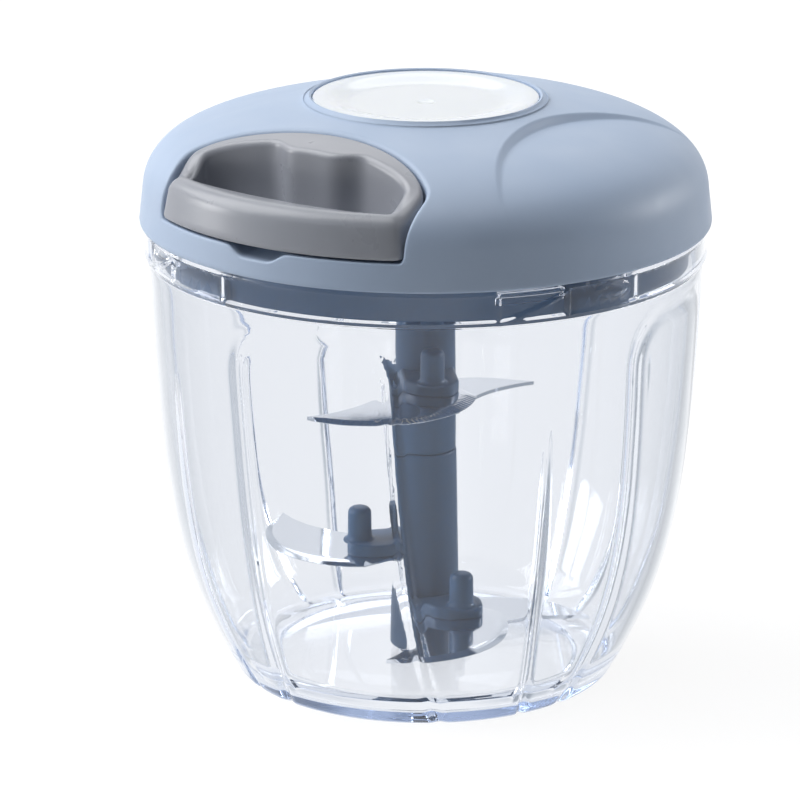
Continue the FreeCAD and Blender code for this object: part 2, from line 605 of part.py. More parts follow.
def build_cord_run():
    """Stretch of cord inside the lid, from the guide to where it meets the winding."""
    start = Vector(0, -RECESS_BACK + RECESS_WALL, CORD_Z)
    distance = -start.y
    tangent_heading = -math.degrees(math.acos(WIND_RADIUS / distance))
    towards = heading(tangent_heading, WIND_RADIUS, CORD_Z) - start
    clear = WIND_RADIUS + 2 * CORD_RADIUS + BODY_GAP
    length = towards.Length - math.sqrt(clear ** 2 - WIND_RADIUS ** 2)
    bend_in = GUIDE_FLANGE + 0.6
    first = bar_along_y(CORD_RADIUS, start.y, start.y + bend_in, 0, CORD_Z)
    turn = Vector(0, start.y + bend_in, CORD_Z)
    ball = Part.makeSphere(CORD_RADIUS, turn)
    straight = Part.makeCylinder(CORD_RADIUS, length - bend_in, turn, towards)
    return first.fuse([ball, straight])


def build_wound_cord():
    """Cord wound on the spool, as the outer shape of its layer."""
    margin = FACE_GAP * 3
    return ring(SPOOL_DRUM_RADIUS, SPOOL_DRUM_RADIUS + 2 * CORD_RADIUS, WINDING_Z + margin,
                WINDING_Z + SPOOL_WINDING_HEIGHT - margin)


# ---------------------------------------------------------------- mechanism
def build_main_axle():
    """Steel axle fixed in the roof; the spool and the drive hub run on it."""
    return disc(AXLE_RADIUS, HUB_FLANGE_Z, ROOF_Z + AXLE_IN_ROOF)


def build_spring_arbor():
    """Post round the axle that anchors the spring's inner end."""
    return ring(AXLE_RADIUS, ARBOR_RADIUS, ARBOR_Z, ROOF_Z)


def build_power_spring():
    """Spiral return spring between the arbor and the spool's cup."""
    inner = ARBOR_RADIUS + FACE_GAP
    outer = SPRING_CUP_RADIUS - SPRING_CUP_WALL - BODY_GAP - SPRING_STRIP
    steps = SPRING_TURNS * 12

    def spiral(extra):
        points = []
        for step in range(steps + 1):
            radius = inner + (outer - inner) * step / steps + extra
            points.append(heading(30.0 * step, radius, SPRING_Z))
        curve = Part.BSplineCurve()
        curve.interpolate(points)
        return curve.toShape(), points

    near, near_points = spiral(0.0)
    far, far_points = spiral(SPRING_STRIP)
    ends = [Part.LineSegment(near_points[i], far_points[i]).toShape() for i in (0, -1)]
    wire = Part.Wire(Part.__sortEdges__([near, ends[1], far, ends[0]]))
    return Part.Face(wire).extrude(Vector(0, 0, SPRING_HEIGHT))


def build_cord_spool():
    """Spool: tube, drum, two flanges and the spring cup."""
    bore = AXLE_RADIUS + RUNNING_CLEAR
    top = WINDING_Z + SPOOL_WINDING_HEIGHT
    cup_bore = SPRING_CUP_RADIUS - SPRING_CUP_WALL
    spool = lathe([(bore, SPOOL_TUBE_Z), (SPOOL_TUBE_RADIUS, SPOOL_TUBE_Z),
                   (SPOOL_TUBE_RADIUS, SPOOL_Z), (SPOOL_FLANGE_RADIUS, SPOOL_Z),
                   (SPOOL_FLANGE_RADIUS, WINDING_Z), (SPOOL_DRUM_RADIUS, WINDING_Z),
                   (SPOOL_DRUM_RADIUS, top), (SPOOL_FLANGE_RADIUS, top),
                   (SPOOL_FLANGE_RADIUS, CUP_Z), (SPRING_CUP_RADIUS, CUP_Z),
                   (SPRING_CUP_RADIUS, CUP_Z + SPRING_CUP_HEIGHT),
                   (cup_bore, CUP_Z + SPRING_CUP_HEIGHT), (cup_bore, CUP_Z), (bore, CUP_Z)])
    return spool.cut([disc(PAWL_PIN_RADIUS, SPOOL_Z - 1, WINDING_Z, heading(at, PAWL_CIRCLE)[:2])
                      for at in pawl_headings()])


def pawl_headings():
    """Headings of the clutch pawls."""
    return [360.0 / PAWL_COUNT * index for index in range(PAWL_COUNT)]


def build_clutch_pawls():
    """Pawls under the spool that drive the ratchet ring one way only."""
    tip_radius = HUB_FLANGE_RADIUS - RATCHET_WALL - RATCHET_DEPTH - BODY_GAP
    top = SPOOL_Z - FACE_GAP
    pawls = []
    for at in pawl_headings():
        half = PAWL_WIDTH / 2
        pivot = heading(at, PAWL_CIRCLE)
        tip = heading(at + PAWL_SWEEP, tip_radius)
        along = (tip - pivot).normalize()
        side = Vector(-along.y, along.x, 0) * half
        corners = [pivot + side, tip - side * 0.4, tip - along - side, pivot - side]
        edges = [Part.LineSegment(a, b).toShape() for a, b in zip(corners, corners[1:] + corners[:1])]
        arm = slab(edges, top - PAWL_THICK, top)
        eye = disc(half + 0.6, top - PAWL_THICK, top, (pivot.x, pivot.y))
        hole = disc(PAWL_PIN_RADIUS + RUNNING_CLEAR, top - PAWL_THICK - 1, top + 1, (pivot.x, pivot.y))
        pawls.append(eye.fuse(arm).cut(hole))
    return Part.makeCompound(pawls)


def build_pawl_pins():
    """Pins that carry the pawls, pressed into the spool's flange."""
    bottom = SPOOL_Z - FACE_GAP - PAWL_THICK
    return Part.makeCompound([disc(PAWL_PIN_RADIUS, bottom, WINDING_Z, heading(at, PAWL_CIRCLE)[:2])
                              for at in pawl_headings()])


def build_thrust_washer():
    """Washer between the spool and the drive hub."""
    return ring(AXLE_RADIUS + RUNNING_CLEAR, SPOOL_TUBE_RADIUS, WASHER_Z, WASHER_Z + WASHER_THICK)


def tang(grow=0.0, height=None):
    """Flat drive tang on the main axis."""
    height = TANG_HEIGHT if height is None else height
    return Part.makeBox(TANG_WIDTH + 2 * grow, TANG_THICK + 2 * grow, height,
                        Vector(-TANG_WIDTH / 2 - grow, -TANG_THICK / 2 - grow, 0))


def build_drive_hub():
    """Hub with the ratchet ring above and the bow-tie socket for the tang below."""
    ring_bore = HUB_FLANGE_RADIUS - RATCHET_WALL
    hub = disc(HUB_SHAFT_RADIUS, HUB_Z, HUB_FLANGE_Z)
    hub = hub.fuse([disc(HUB_FLANGE_RADIUS, HUB_FLANGE_Z, HUB_TOP_Z),
                    ring(ring_bore, HUB_FLANGE_RADIUS, HUB_FLANGE_Z, HUB_TOP_Z + RATCHET_HEIGHT)])
    teeth = []
    for index in range(RATCHET_TEETH):
        at = 360.0 / RATCHET_TEETH * index
        corners = [heading(at, ring_bore + 0.5), heading(at, ring_bore - RATCHET_DEPTH),
                   heading(at + 260.0 / RATCHET_TEETH, ring_bore + 0.5)]
        edges = [Part.LineSegment(a, b).toShape() for a, b in zip(corners, corners[1:] + corners[:1])]
        teeth.append(slab(edges, HUB_TOP_Z - 0.5, HUB_TOP_Z + RATCHET_HEIGHT))
    hub = hub.fuse(teeth)
    socket_height = TANG_HEIGHT + BODY_GAP + SOCKET_PLAY / 3
    steps = 6
    sweep = LOCK_TURN + 2 * SOCKET_PLAY
    cuts = [disc(TANG_THICK / 2 + BODY_GAP + 1.0, HUB_Z - 1, HUB_Z + socket_height)]
    for step in range(steps + 1):
        slot = turned(tang(BODY_GAP, socket_height + 1), -SOCKET_PLAY + sweep * step / steps)
        slot.translate(Vector(0, 0, HUB_Z - 1))
        cuts.append(slot)
    cuts.append(disc(AXLE_RADIUS + RUNNING_CLEAR, HUB_FLANGE_Z - 1.2, HUB_TOP_Z + 1))
    cuts.append(ring(HUB_SHAFT_RADIUS - RING_GROOVE, HUB_SHAFT_RADIUS + 1, RING_Z,
                     RING_Z + RING_THICK))
    return hub.cut(cuts)


def build_drive_bushing():
    """Flanged plain bearing for the drive hub."""
    bore = HUB_SHAFT_RADIUS + RUNNING_CLEAR
    return ring(bore, BUSHING_RADIUS, BUSHING_Z, PLATE_TOP_Z).fuse(
        ring(bore, BUSHING_FLANGE_RADIUS, PLATE_TOP_Z, PLATE_TOP_Z + BUSHING_FLANGE_THICK))


def build_retaining_ring():
    """Open ring in the hub's groove, under the bushing."""
    return sector(HUB_SHAFT_RADIUS - RING_GROOVE, RING_RADIUS, RING_Z, RING_Z + RING_THICK,
                  RING_OPENING / 2, 360 - RING_OPENING / 2)


# ---------------------------------------------------------------- blade column
def blade_outline():
    """Plan edges of one curved wing, with its arm along -Y: root, convex edge, tip."""
    def spot(out, side):
        return Vector(side, -out, 0)

    scale = BLADE_REACH / 40.0
    root_low, root_high = spot(BLADE_ROOT, -4.2), spot(BLADE_ROOT, 4.2)
    shoulder = spot(15.5, 9.6)
    belly = spot(33.4 * scale, -6.0 * scale)
    tip = spot(28.4 * scale, -28.2 * scale)
    hollow = spot(22.6 * scale, -17.4 * scale)
    heel = spot(8.4, -8.6)
    return [Part.LineSegment(root_low, root_high).toShape(),
            Part.LineSegment(root_high, shoulder).toShape(),
            Part.Arc(shoulder, belly, tip).toShape(),
            Part.Arc(tip, hollow, heel).toShape(),
            Part.LineSegment(heel, root_low).toShape()]


def build_blade(node):
    """One stamped steel wing under its arm."""
    top_z, direction = BLADES[node]
    plate = slab(blade_outline(), top_z - BLADE_THICK, top_z)
    hole = disc(RIVET_RADIUS, top_z - BLADE_THICK - 1, top_z + 1, (0, -PEG_CENTRE))
    return turned(plate.cut(hole), direction)


def build_arm(node):
    """Arm plate with its peg and the rivet stub through the blade."""
    top_z, direction = BLADES[node]
    half = ARM_HALF_WIDTH
    corners = [Vector(-half, 0, 0), Vector(half, 0, 0), Vector(half, -ARM_REACH * 0.76, 0),
               Vector(ARM_NOSE * 0.4, -ARM_REACH * 0.98, 0),
               Vector(-ARM_NOSE * 0.64, -ARM_REACH, 0), Vector(-half * 0.93, -ARM_REACH * 0.3, 0)]
    edges = [Part.LineSegment(a, b).toShape() for a, b in zip(corners, corners[1:] + corners[:1])]
    plate = slab(edges, top_z, top_z + ARM_THICK)
    peg = disc(PEG_RADIUS, top_z + 0.5, top_z + ARM_THICK + PEG_HEIGHT, (0, -PEG_CENTRE))
    crown = [edge for edge in peg.Edges
             if abs(edge.BoundBox.ZMin - (top_z + ARM_THICK + PEG_HEIGHT)) < 0.01]
    peg = peg.makeFillet(PEG_RADIUS * 0.45, crown)
    stub = disc(RIVET_RADIUS, top_z - BLADE_THICK, top_z + 1, (0, -PEG_CENTRE))
    return turned(plate.fuse([peg, stub]), direction)


def column_section(z0, z1, radius0, radius1):
    """Slightly tapered round length of the column."""
    return Part.makeCone(radius0, radius1, z1 - z0, Vector(0, 0, z0))


def build_upper_column():
    """Upper length with the drive tang, two arms and the square socket."""
    body = column_section(COLUMN_SEAM_Z, COLUMN_TOP_Z, COLUMN_SEAM_RADIUS, COLUMN_TOP_RADIUS)
    drive = tang()
    drive.translate(Vector(0, 0, COLUMN_TOP_Z - 0.01))
    arms = [build_arm(node) for node in ("top_front_blade", "top_rear_blade")]
    body = body.fuse([drive] + arms)
    side = SPIGOT_SIDE + 2 * RUNNING_CLEAR
    socket = Part.makeBox(side, side, SPIGOT_HEIGHT + 1,
                          Vector(-side / 2, -side / 2, COLUMN_SEAM_Z - 0.5))
    blades = [build_blade(node) for node in ("top_front_blade", "top_rear_blade")]
    return body.cut([socket] + blades)


def build_lower_column():
    """Lower length with three arms, the square spigot and the bore for the floor pin."""
    body = column_section(COLUMN_FOOT_Z, COLUMN_SEAM_Z, COLUMN_FOOT_RADIUS,
                          COLUMN_SEAM_RADIUS + 0.15)
    spigot = Part.makeBox(SPIGOT_SIDE, SPIGOT_SIDE, SPIGOT_HEIGHT + 1,
                          Vector(-SPIGOT_SIDE / 2, -SPIGOT_SIDE / 2, COLUMN_SEAM_Z - 1))
    nodes = ("middle_blade", "lower_blade", "bottom_blade")
    body = body.fuse([spigot] + [build_arm(node) for node in nodes])
    bush = PIN_RADIUS + RUNNING_CLEAR + FOOT_BUSH_WALL
    bore = disc(PIN_RADIUS + PIN_BORE_CLEAR, COLUMN_FOOT_Z - 1, PIN_TOP_Z + 2)
    seat = disc(bush, COLUMN_FOOT_Z - 1, COLUMN_FOOT_Z + FOOT_BUSH_LENGTH)
    return body.cut([bore, seat] + [build_blade(node) for node in nodes])


def build_foot_bush():
    """Bush in the column's foot that runs on the floor pin."""
    bore = PIN_RADIUS + RUNNING_CLEAR
    return ring(bore, bore + FOOT_BUSH_WALL, COLUMN_FOOT_Z, COLUMN_FOOT_Z + FOOT_BUSH_LENGTH)


# ---------------------------------------------------------------- nodes
NODES = {
    "bowl": build_bowl,
    "floor_pin": build_floor_pin,
    "lid_seal": build_lid_seal,
    "top_cover": build_top_cover,
    "bottom_cover": build_bottom_cover,
    "cover_disc": build_cover_disc,
    "lid_screws": build_lid_screws,
    "pull_handle": build_pull_handle,
    "cord_knot": build_cord_knot,
    "cord_lead": build_cord_lead,
    "cord_guide": build_cord_guide,
    "cord_run": build_cord_run,
    "wound_cord": build_wound_cord,
    "main_axle": build_main_axle,
    "spring_arbor": build_spring_arbor,
    "power_spring": build_power_spring,
    "cord_spool": build_cord_spool,
    "clutch_pawls": build_clutch_pawls,
    "pawl_pins": build_pawl_pins,
    "thrust_washer": build_thrust_washer,
    "drive_hub": build_drive_hub,
    "drive_bushing": build_drive_bushing,
    "retaining_ring": build_retaining_ring,
    "upper_column": build_upper_column,
    "lower_column": build_lower_column,
    "foot_bush": build_foot_bush,
}

os.makedirs("parts", exist_ok=True)
for name, build in NODES.items():
    save(name, build())
for name in BLADES:
    save(name, build_blade(name))
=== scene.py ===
"""Looks of the hand pull-cord food chopper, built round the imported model.

Sizes in the classes are millimetres in the model's own frame: +Z up the blade
column's axis, origin under the bowl's foot, handle towards -Y. A heading is in
degrees from -Y towards +X. Skin turns millimetres into metres.
"""
import logging
import math
from dataclasses import dataclass
from enum import Enum

import bmesh
import bpy
import numpy as np
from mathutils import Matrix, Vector


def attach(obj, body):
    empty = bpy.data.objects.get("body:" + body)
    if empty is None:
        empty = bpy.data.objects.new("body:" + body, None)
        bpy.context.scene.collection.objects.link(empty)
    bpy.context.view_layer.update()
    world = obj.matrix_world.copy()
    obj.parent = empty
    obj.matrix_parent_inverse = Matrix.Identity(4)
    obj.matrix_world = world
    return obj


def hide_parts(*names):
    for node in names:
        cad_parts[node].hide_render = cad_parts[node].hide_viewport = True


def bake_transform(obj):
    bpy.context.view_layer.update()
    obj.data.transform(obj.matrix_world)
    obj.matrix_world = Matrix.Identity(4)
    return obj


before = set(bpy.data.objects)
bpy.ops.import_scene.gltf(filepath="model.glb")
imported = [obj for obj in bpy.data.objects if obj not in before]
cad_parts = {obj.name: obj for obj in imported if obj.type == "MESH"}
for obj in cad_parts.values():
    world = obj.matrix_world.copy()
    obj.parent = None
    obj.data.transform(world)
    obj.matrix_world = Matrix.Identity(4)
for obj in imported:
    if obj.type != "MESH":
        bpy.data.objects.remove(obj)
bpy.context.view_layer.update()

MM = 0.001
WELD = 2e-6
LOG = logging.getLogger("chopper")


# ------------------------------------------------------------------ shaping helpers
def smooth(x: np.ndarray) -> np.ndarray:
    """Cubic ease 3x^2 - 2x^3 of x held between 0 and 1."""
    held = np.clip(x, 0.0, 1.0)
    return held * held * (3.0 - 2.0 * held)


def wrap(degrees: np.ndarray) -> np.ndarray:
    """Angle folded to -180..180 degrees."""
    return (degrees + 180.0) % 360.0 - 180.0


def wrap4(degrees: np.ndarray) -> np.ndarray:
    """Angle folded to the nearest of four quarter turns: -45..45 degrees."""
    return (degrees + 45.0) % 90.0 - 45.0


def bell(x: np.ndarray, width: float) -> np.ndarray:
    """Gaussian bump exp(-(x / width)^2)."""
    return np.exp(-(x / width) ** 2)


def at_heading(degrees: np.ndarray, radius: np.ndarray, z: np.ndarray) -> np.ndarray:
    """Points (radius sin h, -radius cos h, z), broadcast together.

    Args:
        degrees: headings, from -Y towards +X.
        radius: distances from the axis.
        z: heights.

    Returns:
        Array whose last axis is (x, y, z).
    """
    angle = np.radians(degrees)
    x, y, height = np.broadcast_arrays(radius * np.sin(angle), -radius * np.cos(angle), z)
    return np.stack([x, y, height], -1)


def bezier(poles: np.ndarray, t: np.ndarray) -> np.ndarray:
    """Cubic Bezier through four poles, by Bernstein weights at each t."""
    weights = np.stack([(1 - t) ** 3, 3 * t * (1 - t) ** 2, 3 * t ** 2 * (1 - t), t ** 3], -1)
    return weights @ np.asarray(poles, float)


def along(points: np.ndarray, count: int) -> np.ndarray:
    """Points spaced evenly by length along an open polyline.

    Args:
        points: polyline, one row a point.
        count: how many points to return, ends included.

    Returns:
        Array of count rows, each between two of the polyline's points.
    """
    points = np.asarray(points, float)
    steps = np.linalg.norm(np.diff(points, axis=0), axis=1)
    length = np.concatenate([[0.0], np.cumsum(steps)])
    wanted = np.linspace(0.0, length[-1], count)
    return np.stack([np.interp(wanted, length, column) for column in points.T], -1)


def relax(loop: np.ndarray, passes: int) -> np.ndarray:
    """Closed loop rounded by repeated quarter-half-quarter averaging of neighbours.

    Args:
        loop: closed loop, one row a point.
        passes: how often to average.

    Returns:
        The rounded loop, point for point.
    """
    for _ in range(passes):
        loop = 0.25 * np.roll(loop, 1, 0) + 0.5 * loop + 0.25 * np.roll(loop, -1, 0)
    return loop


def unit(vectors: np.ndarray) -> np.ndarray:
    """Rows scaled to length one."""
    return vectors / np.maximum(np.linalg.norm(vectors, axis=-1, keepdims=True), 1e-12)


def spread(weight: np.ndarray, low: float, high: float, count: int) -> np.ndarray:
    """Values from low to high, closer together where weight is larger.

    Args:
        weight: wanted density at evenly spaced places from low to high.
        low: first value.
        high: value where the round closes, left out.
        count: how many values to return.

    Returns:
        Increasing array of count values.
    """
    places = np.linspace(low, high, len(weight))
    total = np.concatenate([[0.0], np.cumsum((weight[1:] + weight[:-1]) / 2)])
    wanted = np.linspace(0.0, total[-1], count + 1)[:-1]
    return np.interp(wanted, total, places)


def level(plan: np.ndarray, z: float | np.ndarray) -> np.ndarray:
    """Points of a plan (x, y) at one height, or each at its own."""
    return np.concatenate([plan, np.broadcast_to(z, len(plan))[:, None]], -1)


class Skin:
    """A closed surface gathered from point grids, in millimetres."""

    def __init__(self) -> None:
        """Starts with no points and no faces."""
        self.blocks: list[np.ndarray] = []
        self.count = 0
        self.faces: list[list[int]] = []

    def put(self, points: np.ndarray) -> np.ndarray:
        """Keeps points of shape (..., 3) and returns their numbers in the same shape.

        Args:
            points: array of shape (..., 3).

        Returns:
            Their numbers, of shape (...).
        """
        flat = np.asarray(points, float).reshape(-1, 3)
        numbers = np.arange(self.count, self.count + len(flat))
        self.blocks.append(flat)
        self.count += len(flat)
        return numbers.reshape(np.shape(points)[:-1])

    def join(self, grid: np.ndarray, closed: bool = False,
             keep: np.ndarray | None = None) -> None:
        """Makes a quad between every four neighbours of a grid of point numbers.

        Args:
            grid: point numbers, rows by columns.
            closed: the last column joins the first.
            keep: which cells get a face, if not all.
        """
        if closed:
            grid = np.hstack([grid, grid[:, :1]])
        quads = np.stack([grid[:-1, :-1], grid[:-1, 1:], grid[1:, 1:], grid[1:, :-1]], -1)
        quads = quads.reshape(-1, 4) if keep is None else quads[keep]
        self.faces += quads.tolist()

    def fan(self, ring: np.ndarray, centre: tuple[float, float, float]) -> None:
        """Closes a ring of point numbers with triangles to one centre point."""
        middle = np.full_like(ring, self.put(np.array([centre]))[0])
        self.faces += np.stack([ring, np.roll(ring, -1), middle], -1).tolist()

    def sheet(self, points: np.ndarray, closed: bool = True) -> np.ndarray:
        """Puts and joins a grid of points, and returns its numbers.

        Args:
            points: rows by columns of points.
            closed: the last column joins the first.

        Returns:
            The point numbers, rows by columns.
        """
        grid = self.put(points)
        self.join(grid, closed)
        return grid

    def turn(self, outline: list[tuple[float, float]], columns: int,
             centre: tuple[float, float] = (0.0, 0.0)) -> None:
        """Carries an outline once round an upright axis through centre.

        Args:
            outline: points of (radius, z), from one pole to the other.
            columns: points in each round.
            centre: the axis, as (x, y).
        """
        profile = np.array(outline, float)
        headings = np.arange(columns) * 360.0 / columns
        points = at_heading(headings[None, :], profile[:, :1], profile[:, 1:])
        self.sheet(points + [centre[0], centre[1], 0.0])

    def finish(self, name: str, sharp: float = 40.0) -> bpy.types.Object:
        """Welds the surface, turns its faces outwards and shades it smooth.

        Args:
            name: the new object's name.
            sharp: edges that bend more than this many degrees stay sharp.

        Returns:
            The linked object, at the origin.
        """
        mesh = bpy.data.meshes.new(name)
        points = np.concatenate(self.blocks) * MM
        mesh.from_pydata(points.tolist(), [], self.faces)
        return settle(name, mesh, sharp)


def settle(name: str, mesh: bpy.types.Mesh, sharp: float) -> bpy.types.Object:
    """Merges doubles, points faces outwards, smooths the shading and links an object.

    Args:
        name: the new object's name.
        mesh: its mesh, which is changed.
        sharp: edges that bend more than this many degrees stay sharp.

    Returns:
        The linked object, at the origin.
    """
    work = bmesh.new()
    work.from_mesh(mesh)
    bmesh.ops.remove_doubles(work, verts=work.verts, dist=WELD)
    bmesh.ops.dissolve_degenerate(work, edges=work.edges, dist=WELD / 2)
    bmesh.ops.recalc_face_normals(work, faces=work.faces)
    work.to_mesh(mesh)
    work.free()
    mesh.shade_smooth()
    mesh.set_sharp_from_angle(angle=math.radians(sharp))
    piece = bpy.data.objects.new(name, mesh)
    bpy.context.scene.collection.objects.link(piece)
    return piece


def rounded(corners: list[tuple[float, float]], radius: float,
            steps: int = 5) -> list[tuple[float, float]]:
    """Open outline whose inner corners are rounded by quadratic curves.

    Args:
        corners: points of (radius, z).
        radius: how far from a corner its curve starts, at most.
        steps: points in each curve.

    Returns:
        The outline with each corner replaced by its curve.
    """
    points = np.array(corners, float)
    result = [tuple(points[0])]
    for before, here, after in zip(points, points[1:], points[2:]):
        reach = [min(radius, 0.45 * np.linalg.norm(end - here)) for end in (before, after)]
        start = here + unit(before - here) * reach[0]
        finish = here + unit(after - here) * reach[1]
        for t in np.linspace(0.0, 1.0, steps):
            spot = start * (1 - t) ** 2 + 2 * here * t * (1 - t) + finish * t ** 2
            result.append((float(spot[0]), float(spot[1])))
    return result + [tuple(points[-1])]


# ------------------------------------------------------------------ finishes
class Slot(Enum):
    """The record's material slots."""

    CLEAR = "clear_plastic"
    LID = "lid_blue"
    SKIRT = "skirt_blue"
    DISC = "disc_white"
    GRIP = "handle_grey"
    COLUMN = "column_blue"
    SEAL = "seal_rubber"
    BLADE = "blade_steel"
    STEEL = "plain_steel"
    ACETAL = "gear_white"
    CORD = "cord_white"


def srgb(red: float, green: float, blue: float) -> tuple[float, float, float, float]:
    """Linear colour of a display colour written 0 to 255.

    Args:
        red: display red.
        green: display green.
        blue: display blue.

    Returns:
        Linear red, green and blue, and an alpha of 1.
    """
    shares = np.array([red, green, blue]) / 255.0
    linear = np.where(shares <= 0.04045, shares / 12.92, ((shares + 0.055) / 1.055) ** 2.4)
    return (*[float(value) for value in linear], 1.0)


class Nodes:
    """Short way to add and link the nodes of one shader tree."""

    def __init__(self, tree: bpy.types.NodeTree, output: str = "OutputMaterial") -> None:
        """Empties a tree but for its output.

        Args:
            tree: a material's or a world's tree.
            output: type of its output node.
        """
        self.tree = tree
        self.tree.nodes.clear()
        self.output = self.add(output)

    def add(self, kind: str, links: dict | None = None, **settings: object) -> bpy.types.Node:
        """Adds a node.

        Args:
            kind: the node's type without its ShaderNode prefix.
            links: socket name or number to a value or an output socket.
            settings: properties of the node itself.

        Returns:
            The node.
        """
        node = self.tree.nodes.new("ShaderNode" + kind)
        for key, value in settings.items():
            setattr(node, key, value)
        for socket, value in (links or {}).items():
            if isinstance(value, bpy.types.NodeSocket):
                self.tree.links.new(value, node.inputs[socket])
            else:
                node.inputs[socket].default_value = value
        return node

    def place(self) -> bpy.types.NodeSocket:
        """Object coordinates."""
        return self.add("TexCoord").outputs["Object"]

    def math(self, operation: str, *values: object) -> bpy.types.NodeSocket:
        """Result of a sum on numbers or sockets."""
        node = self.add("Math", dict(enumerate(values)), operation=operation)
        return node.outputs[0]

    def blend(self, share: bpy.types.NodeSocket, low: object, high: object) -> bpy.types.NodeSocket:
        """Number that goes from low at a share of 0 to high at 1."""
        node = self.add("Mix", {0: share, 2: low, 3: high}, data_type="FLOAT")
        return node.outputs[0]

    def bump(self, height: bpy.types.NodeSocket, depth_mm: float) -> bpy.types.NodeSocket:
        """Normal bent by a height that is depth_mm deep."""
        node = self.add("Bump", {"Height": height, "Strength": 1.0, "Distance": depth_mm * MM})
        return node.outputs["Normal"]

    def tones(self, share: bpy.types.NodeSocket, low: tuple[float, ...], high: tuple[float, ...],
              start: float = 0.0, stop: float = 1.0) -> bpy.types.NodeSocket:
        """Colour that goes from low at start to high at stop.

        Args:
            share: number from 0 to 1.
            low: first colour.
            high: last colour.
            start: share where the first ends.
            stop: share where the last begins.

        Returns:
            The colour's socket.
        """
        node = self.add("ValToRGB", {"Fac": share})
        ends = node.color_ramp.elements
        ends[0].position, ends[1].position = start, stop
        ends[0].color, ends[1].color = low, high
        return node.outputs["Color"]

    def link(self, shader: bpy.types.Node, socket: str = "Surface") -> None:
        """Joins a shader to the output."""
        self.tree.links.new(shader.outputs[0], self.output.inputs[socket])


def new_material(name: str) -> tuple[bpy.types.Material, Nodes]:
    """Material whose tree is empty but for its output, and that tree.

    Args:
        name: the material's name.

    Returns:
        The material and its tree.
    """
    material = bpy.data.materials.new(name)
    material.use_nodes = True
    return material, Nodes(material.node_tree)


@dataclass(frozen=True)
class Moulded:
    """Moulded plastic or rubber: a colour that drifts a little, and a fine grain.

    The colour mixes two near tones by broad noise; roughness follows a second
    noise; the grain is noise and cell bumps of a real size.
    """

    name: str
    colour: tuple[float, float, float]
    drift: tuple[float, float, float]
    roughness: float = 0.5
    roughness_swing: float = 0.05
    grain_mm: float = 0.25
    grain_depth_mm: float = 0.004
    specular: float = 0.5
    coat: float = 0.0
    subsurface: float = 0.0

    def build(self) -> bpy.types.Material:
        """Builds the shader tree.

        Returns:
            The material.
        """
        material, nodes = new_material(self.name)
        place = nodes.place()
        broad = nodes.add("TexNoise", {"Vector": place, "Scale": 45.0, "Detail": 3.0})
        tone = nodes.tones(broad.outputs["Fac"], srgb(*self.drift), srgb(*self.colour), 0.35, 0.65)
        handled = nodes.add("TexNoise", {"Vector": place, "Scale": 110.0, "Detail": 4.0})
        gloss = nodes.add("MapRange", {
            "Value": handled.outputs["Fac"], "From Min": 0.3, "From Max": 0.7,
            "To Min": self.roughness - self.roughness_swing,
            "To Max": self.roughness + self.roughness_swing})
        grain = nodes.add("TexNoise", {"Vector": place, "Scale": 1.0 / (self.grain_mm * MM),
                                       "Detail": 2.0})
        shader = nodes.add("BsdfPrincipled", {
            "Base Color": tone, "Roughness": gloss.outputs["Result"],
            "Normal": nodes.bump(grain.outputs["Fac"], self.grain_depth_mm),
            "Specular IOR Level": self.specular, "Coat Weight": self.coat,
            "Coat Roughness": 0.08, "Subsurface Weight": self.subsurface,
            "Subsurface Radius": (0.003, 0.003, 0.004), "Subsurface Scale": 1.0})
        nodes.link(shader)
        return material


@dataclass(frozen=True)
class ClearPlastic:
    """Clear moulded plastic: refracts, and lets the lamps' light straight through.

    A ray that has been mirrored or bent more often than mirrors or bounces goes
    straight on too, so that none ends black inside the walls.
    """

    name: str
    tint: tuple[float, float, float]
    index: float = 1.47
    shadow: float = 0.96
    body: tuple[float, float, float] = (0.38, 0.52, 0.76)
    density: float = 20.0
    mirrors: float = 2.5
    bounces: float = 9.5
    ripple_mm: float = 0.04

    def build(self) -> bpy.types.Material:
        """Builds the shader tree.

        Returns:
            The material.
        """
        material, nodes = new_material(self.name)
        place = nodes.place()
        flow = nodes.add("TexNoise", {"Vector": place, "Scale": 60.0, "Detail": 1.0})
        wear = nodes.add("TexNoise", {"Vector": place, "Scale": 300.0, "Detail": 4.0})
        gloss = nodes.add("MapRange", {"Value": wear.outputs["Fac"], "From Min": 0.45,
                                       "From Max": 0.8, "To Min": 0.015, "To Max": 0.05})
        shader = nodes.add("BsdfPrincipled", {
            "Base Color": srgb(*self.tint), "Roughness": gloss.outputs["Result"],
            "IOR": self.index, "Transmission Weight": 1.0,
            "Normal": nodes.bump(flow.outputs["Fac"], self.ripple_mm)})
        through = nodes.add("BsdfTransparent", {"Color": (self.shadow,) * 3 + (1.0,)})
        light = nodes.add("LightPath").outputs
        lighting = nodes.math("MAXIMUM", light["Is Shadow Ray"], light["Is Diffuse Ray"])
        spent = nodes.math("MAXIMUM",
                           nodes.math("GREATER_THAN", light["Ray Depth"], self.bounces),
                           nodes.math("GREATER_THAN", light["Glossy Depth"], self.mirrors))
        mix = nodes.add("MixShader", {0: nodes.math("MAXIMUM", lighting, spent),
                                      1: shader.outputs[0], 2: through.outputs[0]})
        body = nodes.add("VolumeAbsorption", {"Color": self.body + (1.0,),
                                              "Density": self.density})
        nodes.link(mix)
        nodes.link(body, "Volume")
        return material


